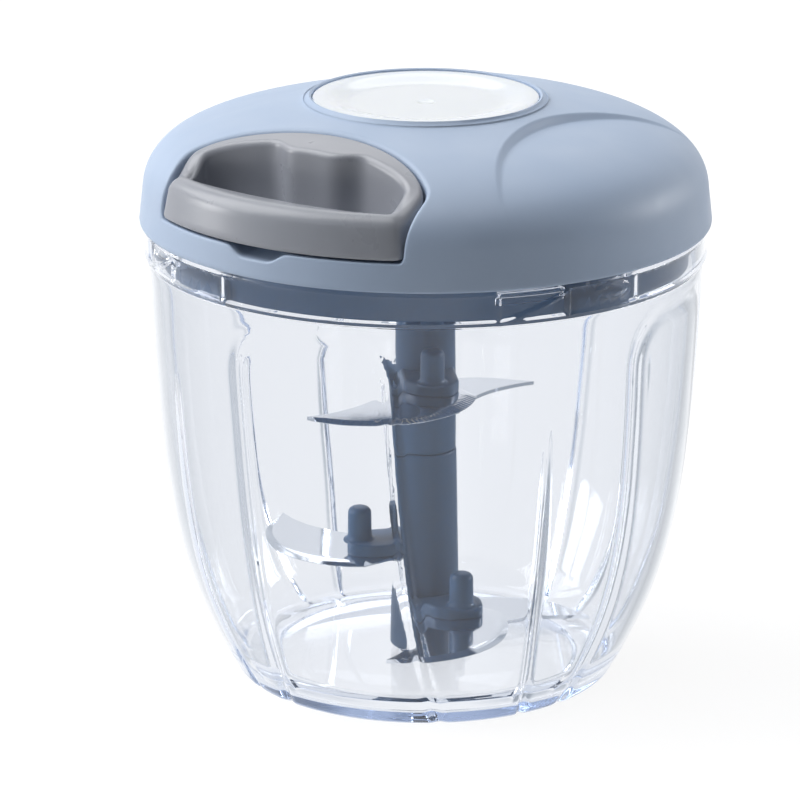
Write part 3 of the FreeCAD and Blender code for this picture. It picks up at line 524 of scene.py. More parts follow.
@dataclass(frozen=True)
class Steel:
    """Steel, mirror-polished or plain, with fine grinding lines along one way."""

    name: str
    colour: tuple[float, float, float]
    roughness: float
    lines_depth_mm: float = 0.0008

    def build(self) -> bpy.types.Material:
        """Builds the shader tree.

        Returns:
            The material.
        """
        material, nodes = new_material(self.name)
        place = nodes.place()
        stretch = nodes.add("Mapping", {"Vector": place, "Scale": (900.0, 9000.0, 900.0)})
        lines = nodes.add("TexNoise", {"Vector": stretch.outputs[0], "Scale": 1.0,
                                       "Detail": 2.0})
        smear = nodes.add("TexNoise", {"Vector": place, "Scale": 150.0, "Detail": 3.0})
        gloss = nodes.add("MapRange", {"Value": smear.outputs["Fac"], "From Min": 0.3,
                                       "From Max": 0.7, "To Min": self.roughness * 0.7,
                                       "To Max": self.roughness * 1.3})
        shader = nodes.add("BsdfPrincipled", {
            "Base Color": srgb(*self.colour), "Metallic": 1.0,
            "Roughness": gloss.outputs["Result"],
            "Normal": nodes.bump(lines.outputs["Fac"], self.lines_depth_mm)})
        nodes.link(shader)
        return material


@dataclass(frozen=True)
class Braid:
    """Braided cord: crossing strands as waves on the piece's object coordinates, with painted shade
    in the hollows between them.
    """

    name: str
    colour: tuple[float, float, float]
    shade: tuple[float, float, float]
    lean: float = 0.8
    strand_depth_mm: float = 0.1

    def build(self) -> bpy.types.Material:
        """Builds the shader tree.

        Returns:
            The material.
        """
        material, nodes = new_material(self.name)
        place = nodes.place()
        waves = []
        for lean in (self.lean, -self.lean):
            turn = nodes.add("Mapping", {"Vector": place, "Rotation": (lean, lean, lean)})
            waves.append(nodes.add("TexWave", {"Vector": turn.outputs[0], "Scale": 320.0,
                                               "Distortion": 0.6}).outputs["Fac"])
        weave = nodes.math("MULTIPLY", *waves)
        # Base colour falls to the shade colour where the weave is low, in the hollows between
        # strands: painted shade.
        shader = nodes.add("BsdfPrincipled", {
            "Base Color": nodes.tones(weave, srgb(*self.shade), srgb(*self.colour)),
            "Roughness": 0.8, "Normal": nodes.bump(weave, self.strand_depth_mm),
            "Sheen Weight": 0.3})
        nodes.link(shader)
        return material


FINISHES = {
    Slot.CLEAR: ClearPlastic("clear_moulded_plastic", (250, 251, 253)),
    Slot.LID: Moulded("powder_blue_satin", (176, 193, 217), (172, 190, 215), 0.46, 0.05,
                      0.28, 0.006, 0.45),
    Slot.SKIRT: Moulded("powder_blue_smooth", (70, 103, 142), (66, 100, 139), 0.4, 0.05,
                        0.25, 0.002, 0.28),
    Slot.DISC: Moulded("milk_white_gloss", (236, 243, 255), (232, 240, 253), 0.12, 0.03,
                       2.0, 0.002, 0.5, 0.4, 0.35),
    Slot.GRIP: Moulded("pebble_grey_satin", (156, 159, 168), (151, 155, 164), 0.3, 0.04,
                       0.4, 0.003, 0.5),
    Slot.COLUMN: Moulded("slate_blue_satin", (72, 108, 147), (68, 104, 143), 0.34, 0.05,
                         0.3, 0.0015, 0.28),
    Slot.SEAL: Moulded("pale_silicone", (222, 226, 230), (214, 219, 225), 0.6, 0.05, 0.5,
                       0.005, 0.4),
    Slot.BLADE: Steel("mirror_steel", (232, 235, 240), 0.07),
    Slot.STEEL: Steel("plain_steel", (170, 171, 174), 0.3),
    Slot.ACETAL: Moulded("natural_acetal", (232, 232, 226), (224, 225, 219), 0.4),
    Slot.CORD: Braid("braided_cord", (236, 236, 230), (176, 176, 170)),
}


class Paint:
    """Makes each finish once and puts it on pieces."""

    def __init__(self) -> None:
        """Builds every finish."""
        self.made = {slot: finish.build() for slot, finish in FINISHES.items()}

    def dress(self, piece: bpy.types.Object, slot: Slot, body: str,
              replaced: tuple[str, ...] = ()) -> bpy.types.Object:
        """Gives a new piece the finish of its slot and its body, and hides the CAD nodes it stands
        for.

        Args:
            piece: the finished piece.
            slot: the finish.
            body: the CAD body it moves with.
            replaced: CAD nodes that it replaces.

        Returns:
            The same piece.
        """
        piece.data.materials.clear()
        piece.data.materials.append(self.made[slot])
        if body:
            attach(piece, body)
        if replaced:
            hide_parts(*replaced)
        LOG.info("%s: %d faces on %s", piece.name, len(piece.data.polygons), body or "two bodies")
        return piece

    def copy_of(self, node: str, slot: Slot, body: str, name: str,
                sharp: float = 32.0, bevel: float = 0.0) -> bpy.types.Object:
        """Merged, smoothly shaded copy of a CAD node that stands for it.

        Args:
            node: the CAD node.
            slot: the finish.
            body: the CAD body it moves with.
            name: the copy's name.
            sharp: edges that bend more than this many degrees stay sharp.
            bevel: width in millimetres of the rounding on sharp edges, 0 for none.

        Returns:
            The dressed copy.
        """
        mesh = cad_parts[node].data.copy()
        mesh.materials.clear()
        piece = settle(name, mesh, sharp)
        if bevel:
            soften = piece.modifiers.new("edges", "BEVEL")
            soften.width = bevel * MM
            soften.segments = 2
            soften.limit_method = "ANGLE"
            soften.angle_limit = math.radians(sharp)
            soften.harden_normals = False
        return self.dress(piece, slot, body, (node,))


# ------------------------------------------------------------------ bowl
@dataclass
class Bowl:
    """Clear fluted bowl with its collar, floor boss and foot."""

    columns: int = 600
    base_radius: float = 41.86
    wall_top_radius: float = 60.85
    ledge_z: float = 95.0
    collar_radius: float = 61.2
    collar_bore: float = 59.3
    rim_z: float = 102.4
    wall: float = 2.4
    collar_step: float = 0.6
    lip_round: float = 0.5
    foot_round: float = 0.9
    floor_z: float = 3.0
    foot_recess_radius: float = 34.0
    foot_recess: float = 0.8
    boss_radius: float = 5.5
    boss_z: float = 3.8
    pin_radius: float = 2.5
    pin_z: float = 1.2
    flute_heading: float = 14.6
    flute_half: float = 18.2
    flute_drift: float = -4.0
    flute_depth: float = 0.85
    flute_width: float = 1.3
    arch_z: float = 91.0
    arch_corner: float = 10.4
    arch_fade: float = 0.5
    inner_follow: float = 0.4
    needle_heading: float = 60.8
    needle_top: float = 75.0
    needle_lean: float = 4.2
    needle_lean_z: float = 34.0
    needle_depth: float = 1.2
    needle_half: tuple[float, float] = (0.4, 0.9)
    rib_headings: tuple[float, ...] = (49.2, 63.8, 81.1)
    rib_proud: float = 0.5
    rib_width: float = 0.5
    oval_heading: float = 74.8
    oval_half: tuple[float, float] = (4.3, 1.45)
    oval_z: float = 99.3
    oval_line: float = 0.42
    slant_z: tuple[float, float] = (95.8, 101.2)
    bead_z: tuple[float, float] = (95.9, 101.6)
    bead_proud: float = 0.8
    bead_width: float = 0.3
    ramp_span: tuple[float, float] = (49.5, 63.5)
    ramp_bore: float = 57.9
    ramp_z: tuple[float, float] = (99.0, 100.4)
    crowded: tuple[tuple[float, float, float], ...] = (
        (62.3, 4.0, 2.6), (-7.0, 1.6, 3.5), (32.0, 1.6, 5.5))

    def wall_radius(self, z: np.ndarray) -> np.ndarray:
        """Outer wall radius at a height, read from the wall's Bezier outline.

        Args:
            z: heights.

        Returns:
            The radius at each.
        """
        poles = [(self.base_radius, 0.0), (self.wall_top_radius - 3.2, 0.283 * self.ledge_z),
                 (self.wall_top_radius - 2.29, 0.49 * self.ledge_z),
                 (self.wall_top_radius, self.ledge_z)]
        curve = bezier(poles, np.linspace(0.0, 1.0, 400))
        return np.interp(z, curve[:, 1], curve[:, 0])

    def flutes(self, degrees: np.ndarray, z: np.ndarray, radius: np.ndarray) -> np.ndarray:
        """Depth of the pressed lines at a heading and height.

        Four arched panels a quarter turn apart: the line runs where the signed
        distance to a box with rounded top corners is zero, as a bell-shaped
        groove. Between the panels a needle crease widens towards the foot.

        Args:
            degrees: headings.
            z: heights.
            radius: the wall's radius there.

        Returns:
            Depths, inwards.
        """
        drift = self.flute_drift * np.clip(z / 80.0, 0.0, 1.0)
        arc = np.radians(1.0) * radius
        across = np.abs(wrap4(degrees - self.flute_heading - drift)) * arc
        corner = self.arch_corner
        side, top = across - (self.flute_half - corner), z - (self.arch_z - corner)
        outside = np.hypot(np.maximum(side, 0.0), np.maximum(top, 0.0)) - corner
        distance = np.where((side > 0) & (top > 0), outside, np.maximum(side, top) - corner)
        upward = np.maximum(top, 0.0) / np.maximum(outside + corner, 1e-6)
        depth = self.flute_depth * (1.0 - self.arch_fade * smooth(upward))
        groove = depth * bell(distance, self.flute_width)
        down = np.clip((self.needle_top - z) / self.needle_top, 0.0, 1.0)
        width = self.needle_half[0] + (self.needle_half[1] - self.needle_half[0]) * down
        lean = self.needle_lean * np.clip(1.0 - z / self.needle_lean_z, 0.0, 1.0) ** 2
        offset = wrap4(degrees - self.needle_heading - lean) * arc
        return groove + self.needle_depth * smooth(down * 2.2) * bell(offset, width)

    def collar_marks(self, degrees: np.ndarray, z: np.ndarray) -> np.ndarray:
        """How far the collar stands proud of its own radius.

        The largest of these bells: each rib's distance round the collar, the
        height over the line that slants between the first two ribs, the distance
        to an oval's outline, and the height over each of the two beads.

        Args:
            degrees: headings.
            z: heights.

        Returns:
            Heights, outwards.
        """
        arc = math.radians(1.0) * self.collar_radius
        proud = np.zeros(np.broadcast(degrees, z).shape)
        in_band = smooth((z - self.ledge_z - 0.3) / 0.5) * smooth((self.rim_z - 0.5 - z) / 0.5)
        for rib in self.rib_headings:
            proud = np.maximum(proud, bell(wrap4(degrees - rib) * arc, self.rib_width) * in_band)
        first, second = self.rib_headings[:2]
        share = wrap4(degrees - first) / (second - first)
        low, high = self.slant_z
        line_z = low + (high - low) * np.clip(share, 0.0, 1.0) ** 1.6
        on_line = smooth((share + 0.03) / 0.03) * smooth((1.03 - share) / 0.03)
        proud = np.maximum(proud, bell(z - line_z, self.rib_width) * on_line)
        across = wrap(degrees - self.oval_heading)
        for middle in (across, wrap(across - 180.0)):
            reach = np.hypot(middle * arc / self.oval_half[0],
                             (z - self.oval_z) / self.oval_half[1])
            steep = np.hypot(middle * arc / self.oval_half[0] ** 2,
                             (z - self.oval_z) / self.oval_half[1] ** 2)
            away = (reach - 1.0) * reach / np.maximum(steep, 0.02)
            proud = np.maximum(proud, bell(away, self.oval_line))
        for bead in self.bead_z:
            proud = np.maximum(proud, self.bead_proud * bell(z - bead, self.bead_width))
        return self.rib_proud * proud

    def headings(self) -> np.ndarray:
        """Column headings, closer together over ribs, creases, grooves and ovals.

        crowded holds (heading, extra density, width) of the creases and grooves.

        Returns:
            Increasing headings, one a column.
        """
        places = np.linspace(-180.0, 180.0, 7201)
        weight = np.ones_like(places)
        for rib in self.rib_headings:
            weight += 5.0 * bell(wrap4(places - rib), 1.1)
        for heading, extra, width in self.crowded:
            weight += extra * bell(wrap4(places - heading), width)
        weight += 1.5 * bell(wrap(2.0 * (places - self.oval_heading)) / 2.0, 5.0)
        return spread(weight, -180.0, 180.0, self.columns)

    def outside(self, degrees: np.ndarray) -> np.ndarray:
        """Outer rows from the foot's rounded edge to the collar's top.

        A row's radius is the wall's less the flutes, and over the ledge it steps
        out to the collar's with its marks. The foot's edge is a quarter circle.

        Args:
            degrees: column headings.

        Returns:
            Points, rows by columns.
        """
        wall_z = np.concatenate([[0.0, 0.25, 0.9, 1.8, 3.0], np.linspace(4.5, 74.0, 34),
                                 np.linspace(75.2, self.ledge_z - 1.2, 15)])[:, None]
        radius = self.wall_radius(wall_z)
        below = np.clip(1.0 - wall_z / self.foot_round, 0.0, 1.0)
        round_foot = self.foot_round * (1.0 - np.sqrt(1.0 - below ** 2))
        wall = at_heading(degrees, radius - self.flutes(degrees, wall_z, radius) - round_foot,
                          wall_z)
        band_z = np.concatenate([self.ledge_z + np.array([-0.5, -0.15, 0.15]),
                                 np.linspace(self.ledge_z + 0.5, self.rim_z - 0.5, 24)])[:, None]
        step = smooth((band_z - self.ledge_z) / self.collar_step + 0.5)
        band = self.wall_top_radius + (self.collar_radius - self.wall_top_radius) * step
        band = band + self.collar_marks(degrees, band_z) * step
        return np.concatenate([wall, at_heading(degrees, band, band_z)])

    def rim(self, degrees: np.ndarray) -> np.ndarray:
        """Rows over the rim: a quarter circle at each edge, and a flat between them.

        Args:
            degrees: column headings.

        Returns:
            Points, rows by columns.
        """
        swing = np.radians(np.linspace(10.0, 170.0, 6))
        radius = self.collar_radius - self.lip_round * (1.0 - np.cos(swing))
        radius[3:] -= self.collar_radius - self.collar_bore - 2.0 * self.lip_round
        z = self.rim_z - self.lip_round * (1.0 - np.sin(swing))
        return at_heading(degrees, radius[:, None], z[:, None])

    def bore(self, degrees: np.ndarray) -> np.ndarray:
        """Rows down the collar's bore, from which four bayonet ramps stand in.

        Args:
            degrees: column headings.

        Returns:
            Points, rows by columns.
        """
        bore_z = np.concatenate([np.linspace(self.rim_z - 0.7, 100.9, 3),
                                 [100.45, 100.35, 99.75, 99.05, 98.95],
                                 np.linspace(98.2, 94.6, 5)])[:, None]
        in_ramp = smooth((bore_z - self.ramp_z[0] + 0.1) / 0.15)
        in_ramp = in_ramp * smooth((self.ramp_z[1] + 0.1 - bore_z) / 0.15)
        local = wrap4(degrees - sum(self.ramp_span) / 2)
        half = (self.ramp_span[1] - self.ramp_span[0]) / 2
        on_ramp = smooth((half + 0.3 - np.abs(local)) / 0.6)
        radius = self.collar_bore - (self.collar_bore - self.ramp_bore) * in_ramp * on_ramp
        return at_heading(degrees, radius, bore_z)

    def inside(self, degrees: np.ndarray) -> np.ndarray:
        """Rows down the inner wall and over the floor, boss and pin hole.

        The inner wall lies a wall's thickness inside the outer one, and follows
        its flutes by a share that fades out over the floor.

        Args:
            degrees: column headings.

        Returns:
            Points, rows by columns.
        """
        wall_z = np.concatenate([[94.2, 93.6], np.linspace(92.4, 75.0, 11),
                                 np.linspace(73.0, 12.0, 24), [10.0, 8.2]])[:, None]
        radius = self.wall_radius(wall_z)
        sunk = self.flutes(degrees, wall_z, radius) * self.inner_follow
        wall = at_heading(degrees, radius - self.wall - sunk, wall_z)
        low, boss, pin = self.floor_z, self.boss_radius, self.pin_radius
        floor = np.array([
            (42.3, low + 3.5), (40.6, low + 1.6), (38.9, low + 0.7), (36.6, low + 0.15),
            (34.0, low), (26.0, low), (18.0, low), (11.0, low), (boss + 0.9, low),
            (boss + 0.2, low + 0.1), (boss, low + 0.35), (boss - 0.15, self.boss_z - 0.15),
            (boss - 0.5, self.boss_z), (pin + 0.1, self.boss_z), (pin, self.boss_z - 0.1),
            (pin, self.pin_z), (0.0, self.pin_z)])
        reach, height = floor[:, :1], floor[:, 1:]
        fade = smooth((reach - 35.0) / 8.0) * self.inner_follow
        sunk = self.flutes(degrees, height, reach + self.wall) * fade
        return np.concatenate([wall, at_heading(degrees, reach - sunk, height)])

    def build(self, paint: Paint) -> None:
        """Makes the bowl's one closed surface: under, outside, rim, bore and inside.

        Args:
            paint: the finishes.
        """
        degrees = self.headings()[None, :]
        edge, high = self.foot_recess_radius, self.foot_recess
        under = np.array([(0.0, high), (12.0, high), (edge - 0.8, high), (edge - 0.2, high - 0.15),
                          (edge, 0.3), (edge + 0.3, 0.05), (edge + 0.8, 0.0), (edge + 4.0, 0.0)])
        skin = Skin()
        skin.sheet(np.concatenate([
            at_heading(degrees, under[:, :1], under[:, 1:]), self.outside(degrees),
            self.rim(degrees), self.bore(degrees), self.inside(degrees)]))
        paint.dress(skin.finish("clear_bowl", 50.0), Slot.CLEAR, "bowl", ("bowl",))


# ------------------------------------------------------------------ lid
@dataclass
class LidShell:
    """Domed cover with the handle's bay, the finger pads and the disc's seat."""

    columns: int = 400
    edge_z: float = 102.7
    radius: float = 62.5
    dome_z: float = 111.0
    dome_radius: float = 61.6
    rim_radius: float = 25.4
    top_z: float = 130.0
    seat_radius: float = 24.85
    seat_z: float = 127.2
    wall: float = 1.8
    pad_centre: float = 81.2
    pad_radius: float = 51.4
    pad_step: float = 1.7
    pad_limit: float = 57.0
    pad_depths: tuple[tuple[float, float], ...] = (
        (28.0, 1.7), (30.0, 1.62), (40.0, 1.08), (50.0, 0.53), (57.0, 0.0))
    bay_half: float = 31.2
    bay_back: float = 32.3
    bay_back_radius: float = 48.6
    bay_corner: float = 4.5
    bay_z: float = 108.8
    bay_middle_y: float = -46.0
    bay_lip: float = 1.15
    bay_fillet: float = 0.35
    notch_half: float = 7.9
    notch_flank: float = 4.6
    notch_depth: float = 2.1
    window_half: float = 40.5
    window_columns: int = 108
    window_low_z: float = 104.4
    window_top_radius: float = 28.8
    window_middle: float = 20.0

    def __post_init__(self) -> None:
        """Tabulates the outer profile as (length, radius, z) from the edge to the rim.

        unroll is the length of one degree round the dome, at a radius of 50.
        """
        self.unroll = math.radians(50.0)
        side = np.array([(self.radius - 0.35, self.edge_z), (self.radius - 0.1, self.edge_z + 0.12),
                         (self.radius, self.edge_z + 0.45)])
        straight = np.linspace(side[-1], (self.dome_radius, self.dome_z), 30)[1:]
        crown = bezier([(self.dome_radius, self.dome_z), (60.04, 127.7), (25.14, 126.85),
                        (self.rim_radius, self.top_z)], np.linspace(0.0, 1.0, 500))[1:]
        table = np.vstack([side, straight, crown])
        steps = np.linalg.norm(np.diff(table, axis=0), axis=1)
        self.length = np.concatenate([[0.0], np.cumsum(steps)])
        self.table = table
        self.total = float(self.length[-1])

    def at(self, s: np.ndarray) -> tuple[np.ndarray, np.ndarray]:
        """Radius and height at a length along the profile."""
        return (np.interp(s, self.length, self.table[:, 0]),
                np.interp(s, self.length, self.table[:, 1]))

    def length_at(self, radius: np.ndarray | None = None,
                  z: np.ndarray | None = None) -> np.ndarray:
        """Length along the profile at a radius on the crown or a height on the side.

        Args:
            radius: radii on the crown, or None.
            z: heights on the side, or None.

        Returns:
            The length at each.
        """
        if z is not None:
            return np.interp(z, self.table[:, 1], self.length)
        flipped = slice(None, None, -1)
        falling = np.minimum.accumulate(self.table[:, 0])
        return np.interp(radius, falling[flipped], self.length[flipped])

    def dome_height(self, radius: np.ndarray) -> np.ndarray:
        """Height of the crown at a radius."""
        return self.at(self.length_at(radius=radius))[1]

    def pads(self, x: np.ndarray, y: np.ndarray) -> np.ndarray:
        """Drop of the finger pads: a smooth step inside an arc, times a depth by radius.

        Args:
            x: plan points' x.
            y: plan points' y.

        Returns:
            The drop at each.
        """
        away = np.hypot(np.abs(x) - self.pad_centre, y)
        inside = smooth((self.pad_radius + self.pad_step / 2 - away) / self.pad_step)
        radius = np.hypot(x, y)
        return inside * np.interp(radius, *zip(*self.pad_depths))

    def surface(self, degrees: np.ndarray, s: np.ndarray) -> np.ndarray:
        """Outer surface at a heading and a profile length, pads included.

        Args:
            degrees: headings.
            s: profile lengths.

        Returns:
            The points, broadcast together.
        """
        radius, z = self.at(s)
        points = at_heading(degrees, radius, z)
        points[..., 2] -= self.pads(points[..., 0], points[..., 1])
        return points

    def headings(self) -> np.ndarray:
        """Column headings: even over the bay, closer where a pad's edge runs steeply.

        Returns:
            Increasing headings, one a column.
        """
        inner = np.linspace(-self.window_half, self.window_half, self.window_columns + 1)
        places = np.linspace(self.window_half, 360.0 - self.window_half, 7000)
        lean = np.abs(np.abs(wrap(places)) - 90.0)
        weight = 1.0 + 2.6 * bell(lean - 37.6, 3.0) + 0.4 * (lean < 40.0)
        outer = spread(weight, self.window_half, 360.0 - self.window_half,
                       self.columns - len(inner) + 1)[1:]
        return np.concatenate([inner, outer])

    def rows(self, degrees: np.ndarray) -> np.ndarray:
        """Profile lengths of the rows in each column, gathered at the pad's edge.

        The edge is the circle's nearer crossing of the column's ray, held at the
        pads' limit where there is no pad.

        Args:
            degrees: column headings.

        Returns:
            Profile lengths, rows by columns.
        """
        lean = np.radians(np.abs(np.abs(wrap(degrees)) - 90.0))
        under_root = self.pad_radius ** 2 - (self.pad_centre * np.sin(lean)) ** 2
        crossing = self.pad_centre * np.cos(lean) - np.sqrt(np.maximum(under_root, 0.0))
        edge = np.where(under_root > 0, np.minimum(crossing, self.pad_limit), self.pad_limit)
        middle = self.length_at(radius=edge)[None, :]
        low = np.concatenate([[0.0, 0.2, 0.4, 0.75, 1.3], np.linspace(2.2, 8.7, 6)])
        start, gap = low[-1], 1.1
        ones = np.ones_like(middle)
        first = start + np.linspace(0, 1, 24)[1:, None] * (middle - gap - start)
        step = middle + np.linspace(-gap, gap, 11)[1:, None]
        last = middle + gap + np.linspace(0, 1, 33)[1:, None] * (self.total - middle - gap)
        return np.concatenate([low[:, None] * ones, first, step, last])

    def notch(self, x: np.ndarray) -> np.ndarray:
        """Drop of the finger notch: an eased scoop with a flat middle."""
        return self.notch_depth * smooth((self.notch_half - np.abs(x)) / self.notch_flank)

    def bay_line(self) -> np.ndarray:
        """The bay's mouth on the dome and its walls' normals, all evenly spaced.

        Returns:
            Closed loop of rows (heading, profile length, unit normal into the
            bay), from the left front corner round by the right.
        """
        half, centre_y = self.bay_half, -self.bay_back - self.bay_back_radius
        front_s = self.length_at(z=np.array(self.bay_z))
        front_r = float(self.at(front_s)[0])
        corner_x = half - self.bay_corner
        corner_y = centre_y + math.sqrt((self.bay_back_radius - self.bay_corner) ** 2
                                        - corner_x ** 2)
        turn = math.atan2(corner_y - centre_y, corner_x)
        x = np.linspace(-half, half, 200)
        swing = np.linspace(0.0, turn, 40)
        bend_x = corner_x + self.bay_corner * np.cos(swing)
        bend_y = corner_y + self.bay_corner * np.sin(swing)
        sweep = np.linspace(turn, math.pi - turn, 240)
        arc_x = self.bay_back_radius * np.cos(sweep)
        arc_y = centre_y + self.bay_back_radius * np.sin(sweep)

        def with_normal(degrees: np.ndarray, s: np.ndarray,
                        normal: tuple[float | np.ndarray, ...]) -> np.ndarray:
            """Rows of (heading, length, normal)."""
            return np.stack(np.broadcast_arrays(degrees, s, *normal), -1)

        def on_dome(px: np.ndarray, py: np.ndarray, facing: np.ndarray) -> np.ndarray:
            """Rows for plan points whose wall faces against an angle.

            Args:
                px: plan points' x.
                py: plan points' y.
                facing: the angles, in radians.

            Returns:
                Rows of (heading, length, normal).
            """
            return with_normal(np.degrees(np.arctan2(px, -py)),
                               self.length_at(radius=np.hypot(px, py)),
                               (-np.cos(facing), -np.sin(facing), 0.0))

        front = with_normal(np.degrees(np.arcsin(x / front_r)),
                            self.length_at(z=self.bay_z - self.notch(x)), (0.0, 0.0, 1.0))
        side_r = math.hypot(half, corner_y)
        side_s = np.linspace(float(front_s), float(self.length_at(radius=np.array(side_r))), 120)
        side = with_normal(np.degrees(np.arcsin(half / self.at(side_s)[0])), side_s,
                           (-1.0, 0.0, 0.0))
        mirror = np.array([-1.0, 1.0, -1.0, 1.0, 1.0])
        right = np.vstack([side, on_dome(bend_x, bend_y, swing)[1:]])
        left = (right * mirror)[::-1]
        parts = (front, right, on_dome(arc_x, arc_y, sweep), left)
        loop = np.vstack([part[:-1] for part in parts])
        loop = np.vstack([loop, loop[:1]])
        scale = np.array([self.unroll, 1.0, 1e-3, 1e-3, 1e-3])
        even = relax(along(loop * scale, 1201)[:-1] / scale, 30)
        even[:, 2:] = unit(relax(even[:, 2:], 60))
        return even

    def met(self, border: np.ndarray, loop: np.ndarray) -> np.ndarray:
        """Rows of the loop where rays from the window's middle to the border cross it.

        Args:
            border: the window's (heading, length).
            loop: the mouth's rows, which start with the same two.

        Returns:
            One row of the loop for each row of the border.
        """
        def angle(rows: np.ndarray) -> np.ndarray:
            """Direction from the window's middle, on the unrolled dome."""
            return np.arctan2(rows[:, 0] * self.unroll, self.window_middle - rows[:, 1])

        return np.stack([np.interp(angle(border), angle(loop), column, period=2 * math.pi)
                         for column in loop.T], -1)

    def build(self, paint: Paint) -> None:
        """Makes the cover's outer skin, then gives it its wall inwards.

        A polar grid of heading by profile length leaves out a window; the window
        is filled by rings that run from its border to the bay's mouth, over a
        rounded lip, down the wall and in to the middle of the bay's floor.

        Args:
            paint: the finishes.
        """
        skin = Skin()
        degrees = self.headings()
        rows = self.rows(degrees)
        grid = skin.put(self.surface(degrees[None, :], rows))
        last = self.window_columns
        radius, z = self.at(rows[:, last // 2])
        low = int(np.argmin(np.abs(z - self.window_low_z)))
        high = int(np.argmin(np.abs(radius - self.window_top_radius)))
        cells = np.ones((grid.shape[0] - 1, grid.shape[1]), bool)
        cells[low:high, :last] = False
        skin.join(grid, True, cells)

        def round_window(values: np.ndarray) -> np.ndarray:
            """A grid's values along the window's border: low, right, high, left."""
            return np.concatenate([values[low, :last], values[low:high, last],
                                   values[high, last:0:-1], values[high:low:-1, 0]])

        border = round_window(grid)
        edge = np.stack([round_window(np.broadcast_to(degrees, rows.shape)),
                         round_window(rows)], -1)
        met = self.met(edge, self.bay_line())
        self.fill_bay(skin, border, edge, met[:, :2], unit(met[:, 2:]))
        seat = [(self.rim_radius - 0.12, self.top_z - 0.04), (self.rim_radius - 0.3, 129.93),
                (self.seat_radius + 0.05, 129.78), (self.seat_radius, 129.5),
                (self.seat_radius, 127.4), (self.seat_radius - 0.2, self.seat_z),
                (18.0, self.seat_z), (9.0, self.seat_z), (0.0, self.seat_z)]
        profile = np.array(seat)
        lower = skin.put(at_heading(degrees[None, :], profile[:, :1], profile[:, 1:]))
        skin.join(np.vstack([grid[-1:], lower]), True)
        piece = skin.finish("lid_cover", 40.0)
        shell = piece.modifiers.new("wall", "SOLIDIFY")
        shell.thickness = self.wall * MM
        shell.offset = -1.0
        paint.dress(piece, Slot.LID, "lid", ("top_cover",))

    def fill_bay(self, skin: Skin, border: np.ndarray, edge: np.ndarray, mouth: np.ndarray,
                 normals: np.ndarray) -> None:
        """Rings from the window's border to the middle of the bay's floor.

        Args:
            skin: the cover's surface.
            border: numbers of the border's points.
            edge: their (heading, length).
            mouth: the bay's mouth, as (heading, length).
            normals: the bay walls' normals at the mouth.
        """
        radius, z = self.at(mouth[:, 1])
        line = at_heading(mouth[:, 0], radius, z)
        ahead = self.at(mouth[:, 1] + 0.05)
        behind = self.at(mouth[:, 1] - 0.05)
        slope = unit(np.stack([ahead[0] - behind[0], ahead[1] - behind[1]], -1))
        angle = np.radians(mouth[:, 0])
        out = np.stack([np.sin(angle), -np.cos(angle), np.zeros_like(angle)], -1)
        round_way = np.stack([np.cos(angle), np.sin(angle), np.zeros_like(angle)], -1)
        up = np.array([0.0, 0.0, 1.0])
        rise = out * slope[:, :1] + up * slope[:, 1:]
        face = np.cross(round_way, rise)
        dot = np.sum(face * normals, -1, keepdims=True)
        inward = -unit(face - dot * normals)
        outward = -unit(normals - dot * face)
        lip = self.bay_lip * (1.0 - 0.55 * smooth(normals[:, 2:]))
        start = mouth.copy()
        start[:, 0] += np.degrees(lip[:, 0] * np.sum(outward * round_way, -1) / radius)
        start[:, 1] += lip[:, 0] * np.sum(outward * rise, -1)
        start = relax(start, 3)
        rings = [border]
        for share in (0.3, 0.55, 0.75, 0.9, 1.0):
            spot = edge + (start - edge) * share
            rings.append(skin.put(self.surface(spot[:, 0], spot[:, 1])))
        for turn in np.radians([18.0, 36.0, 54.0, 72.0, 90.0]):
            ring = line + outward * lip * (1 - math.sin(turn)) + inward * lip * (1 - math.cos(turn))
            rings.append(skin.put(ring))
        top = line + inward * lip
        floor = self.floor_z(top[:, 0], top[:, 1])
        wallness = smooth((top[:, 2] - floor) / 2.0)[:, None]
        foot = top + normals * [self.bay_fillet, self.bay_fillet, 0.0] * wallness
        foot[:, 2] = top[:, 2] + (floor - top[:, 2]) * wallness[:, 0]
        for share in (0.3, 0.6, 0.9, 1.0):
            rings.append(skin.put(top + (foot - top) * share))
        centre = np.array([0.0, self.bay_middle_y, self.bay_z])
        for share in (0.93, 0.84, 0.72, 0.58, 0.42, 0.25, 0.1):
            ring = centre + (foot - centre) * share
            ring[:, 2] = self.floor_z(ring[:, 0], ring[:, 1])
            rings.append(skin.put(ring))
        skin.join(np.stack(rings), True)
        skin.fan(rings[-1], tuple(centre))

    def floor_z(self, x: np.ndarray, y: np.ndarray) -> np.ndarray:
        """Height of the bay's floor, which dips to the finger notch at its front."""
        return self.bay_z - self.notch(x) * smooth((-y - 54.5) / 5.5)


@dataclass
class CoverDisc:
    """White disc in the crown: flat rim, shallow dish and a small central dimple."""

    radius: float = 24.72
    seat_z: float = 127.2
    rim_z: float = 129.62
    rim_width: float = 1.6
    dish: float = 1.3
    dish_width: float = 7.5
    dimple_radius: float = 2.2

    def build(self, paint: Paint) -> None:
        """Turns the disc: the dish falls as a cubic ease from the rim to the dimple.

        Args:
            paint: the finishes.
        """
        r = np.linspace(self.radius - 0.6, self.dimple_radius, 28)
        z = self.rim_z - self.dish * smooth((self.radius - self.rim_width - r) / self.dish_width)
        outline = [(0.0, self.seat_z), (self.radius - 0.3, self.seat_z),
                   (self.radius, self.seat_z + 0.3), (self.radius, self.rim_z - 0.4),
                   (self.radius - 0.1, self.rim_z - 0.15), (self.radius - 0.32, self.rim_z - 0.02)]
        outline += list(zip(r, z))
        low = float(z[-1])
        outline += [(1.9, low - 0.03), (1.6, low - 0.15), (1.2, low - 0.28), (0.6, low - 0.34),
                    (0.0, low - 0.36)]
        skin = Skin()
        skin.turn(outline, 160)
        paint.dress(skin.finish("white_disc"), Slot.DISC, "lid", ("cover_disc",))


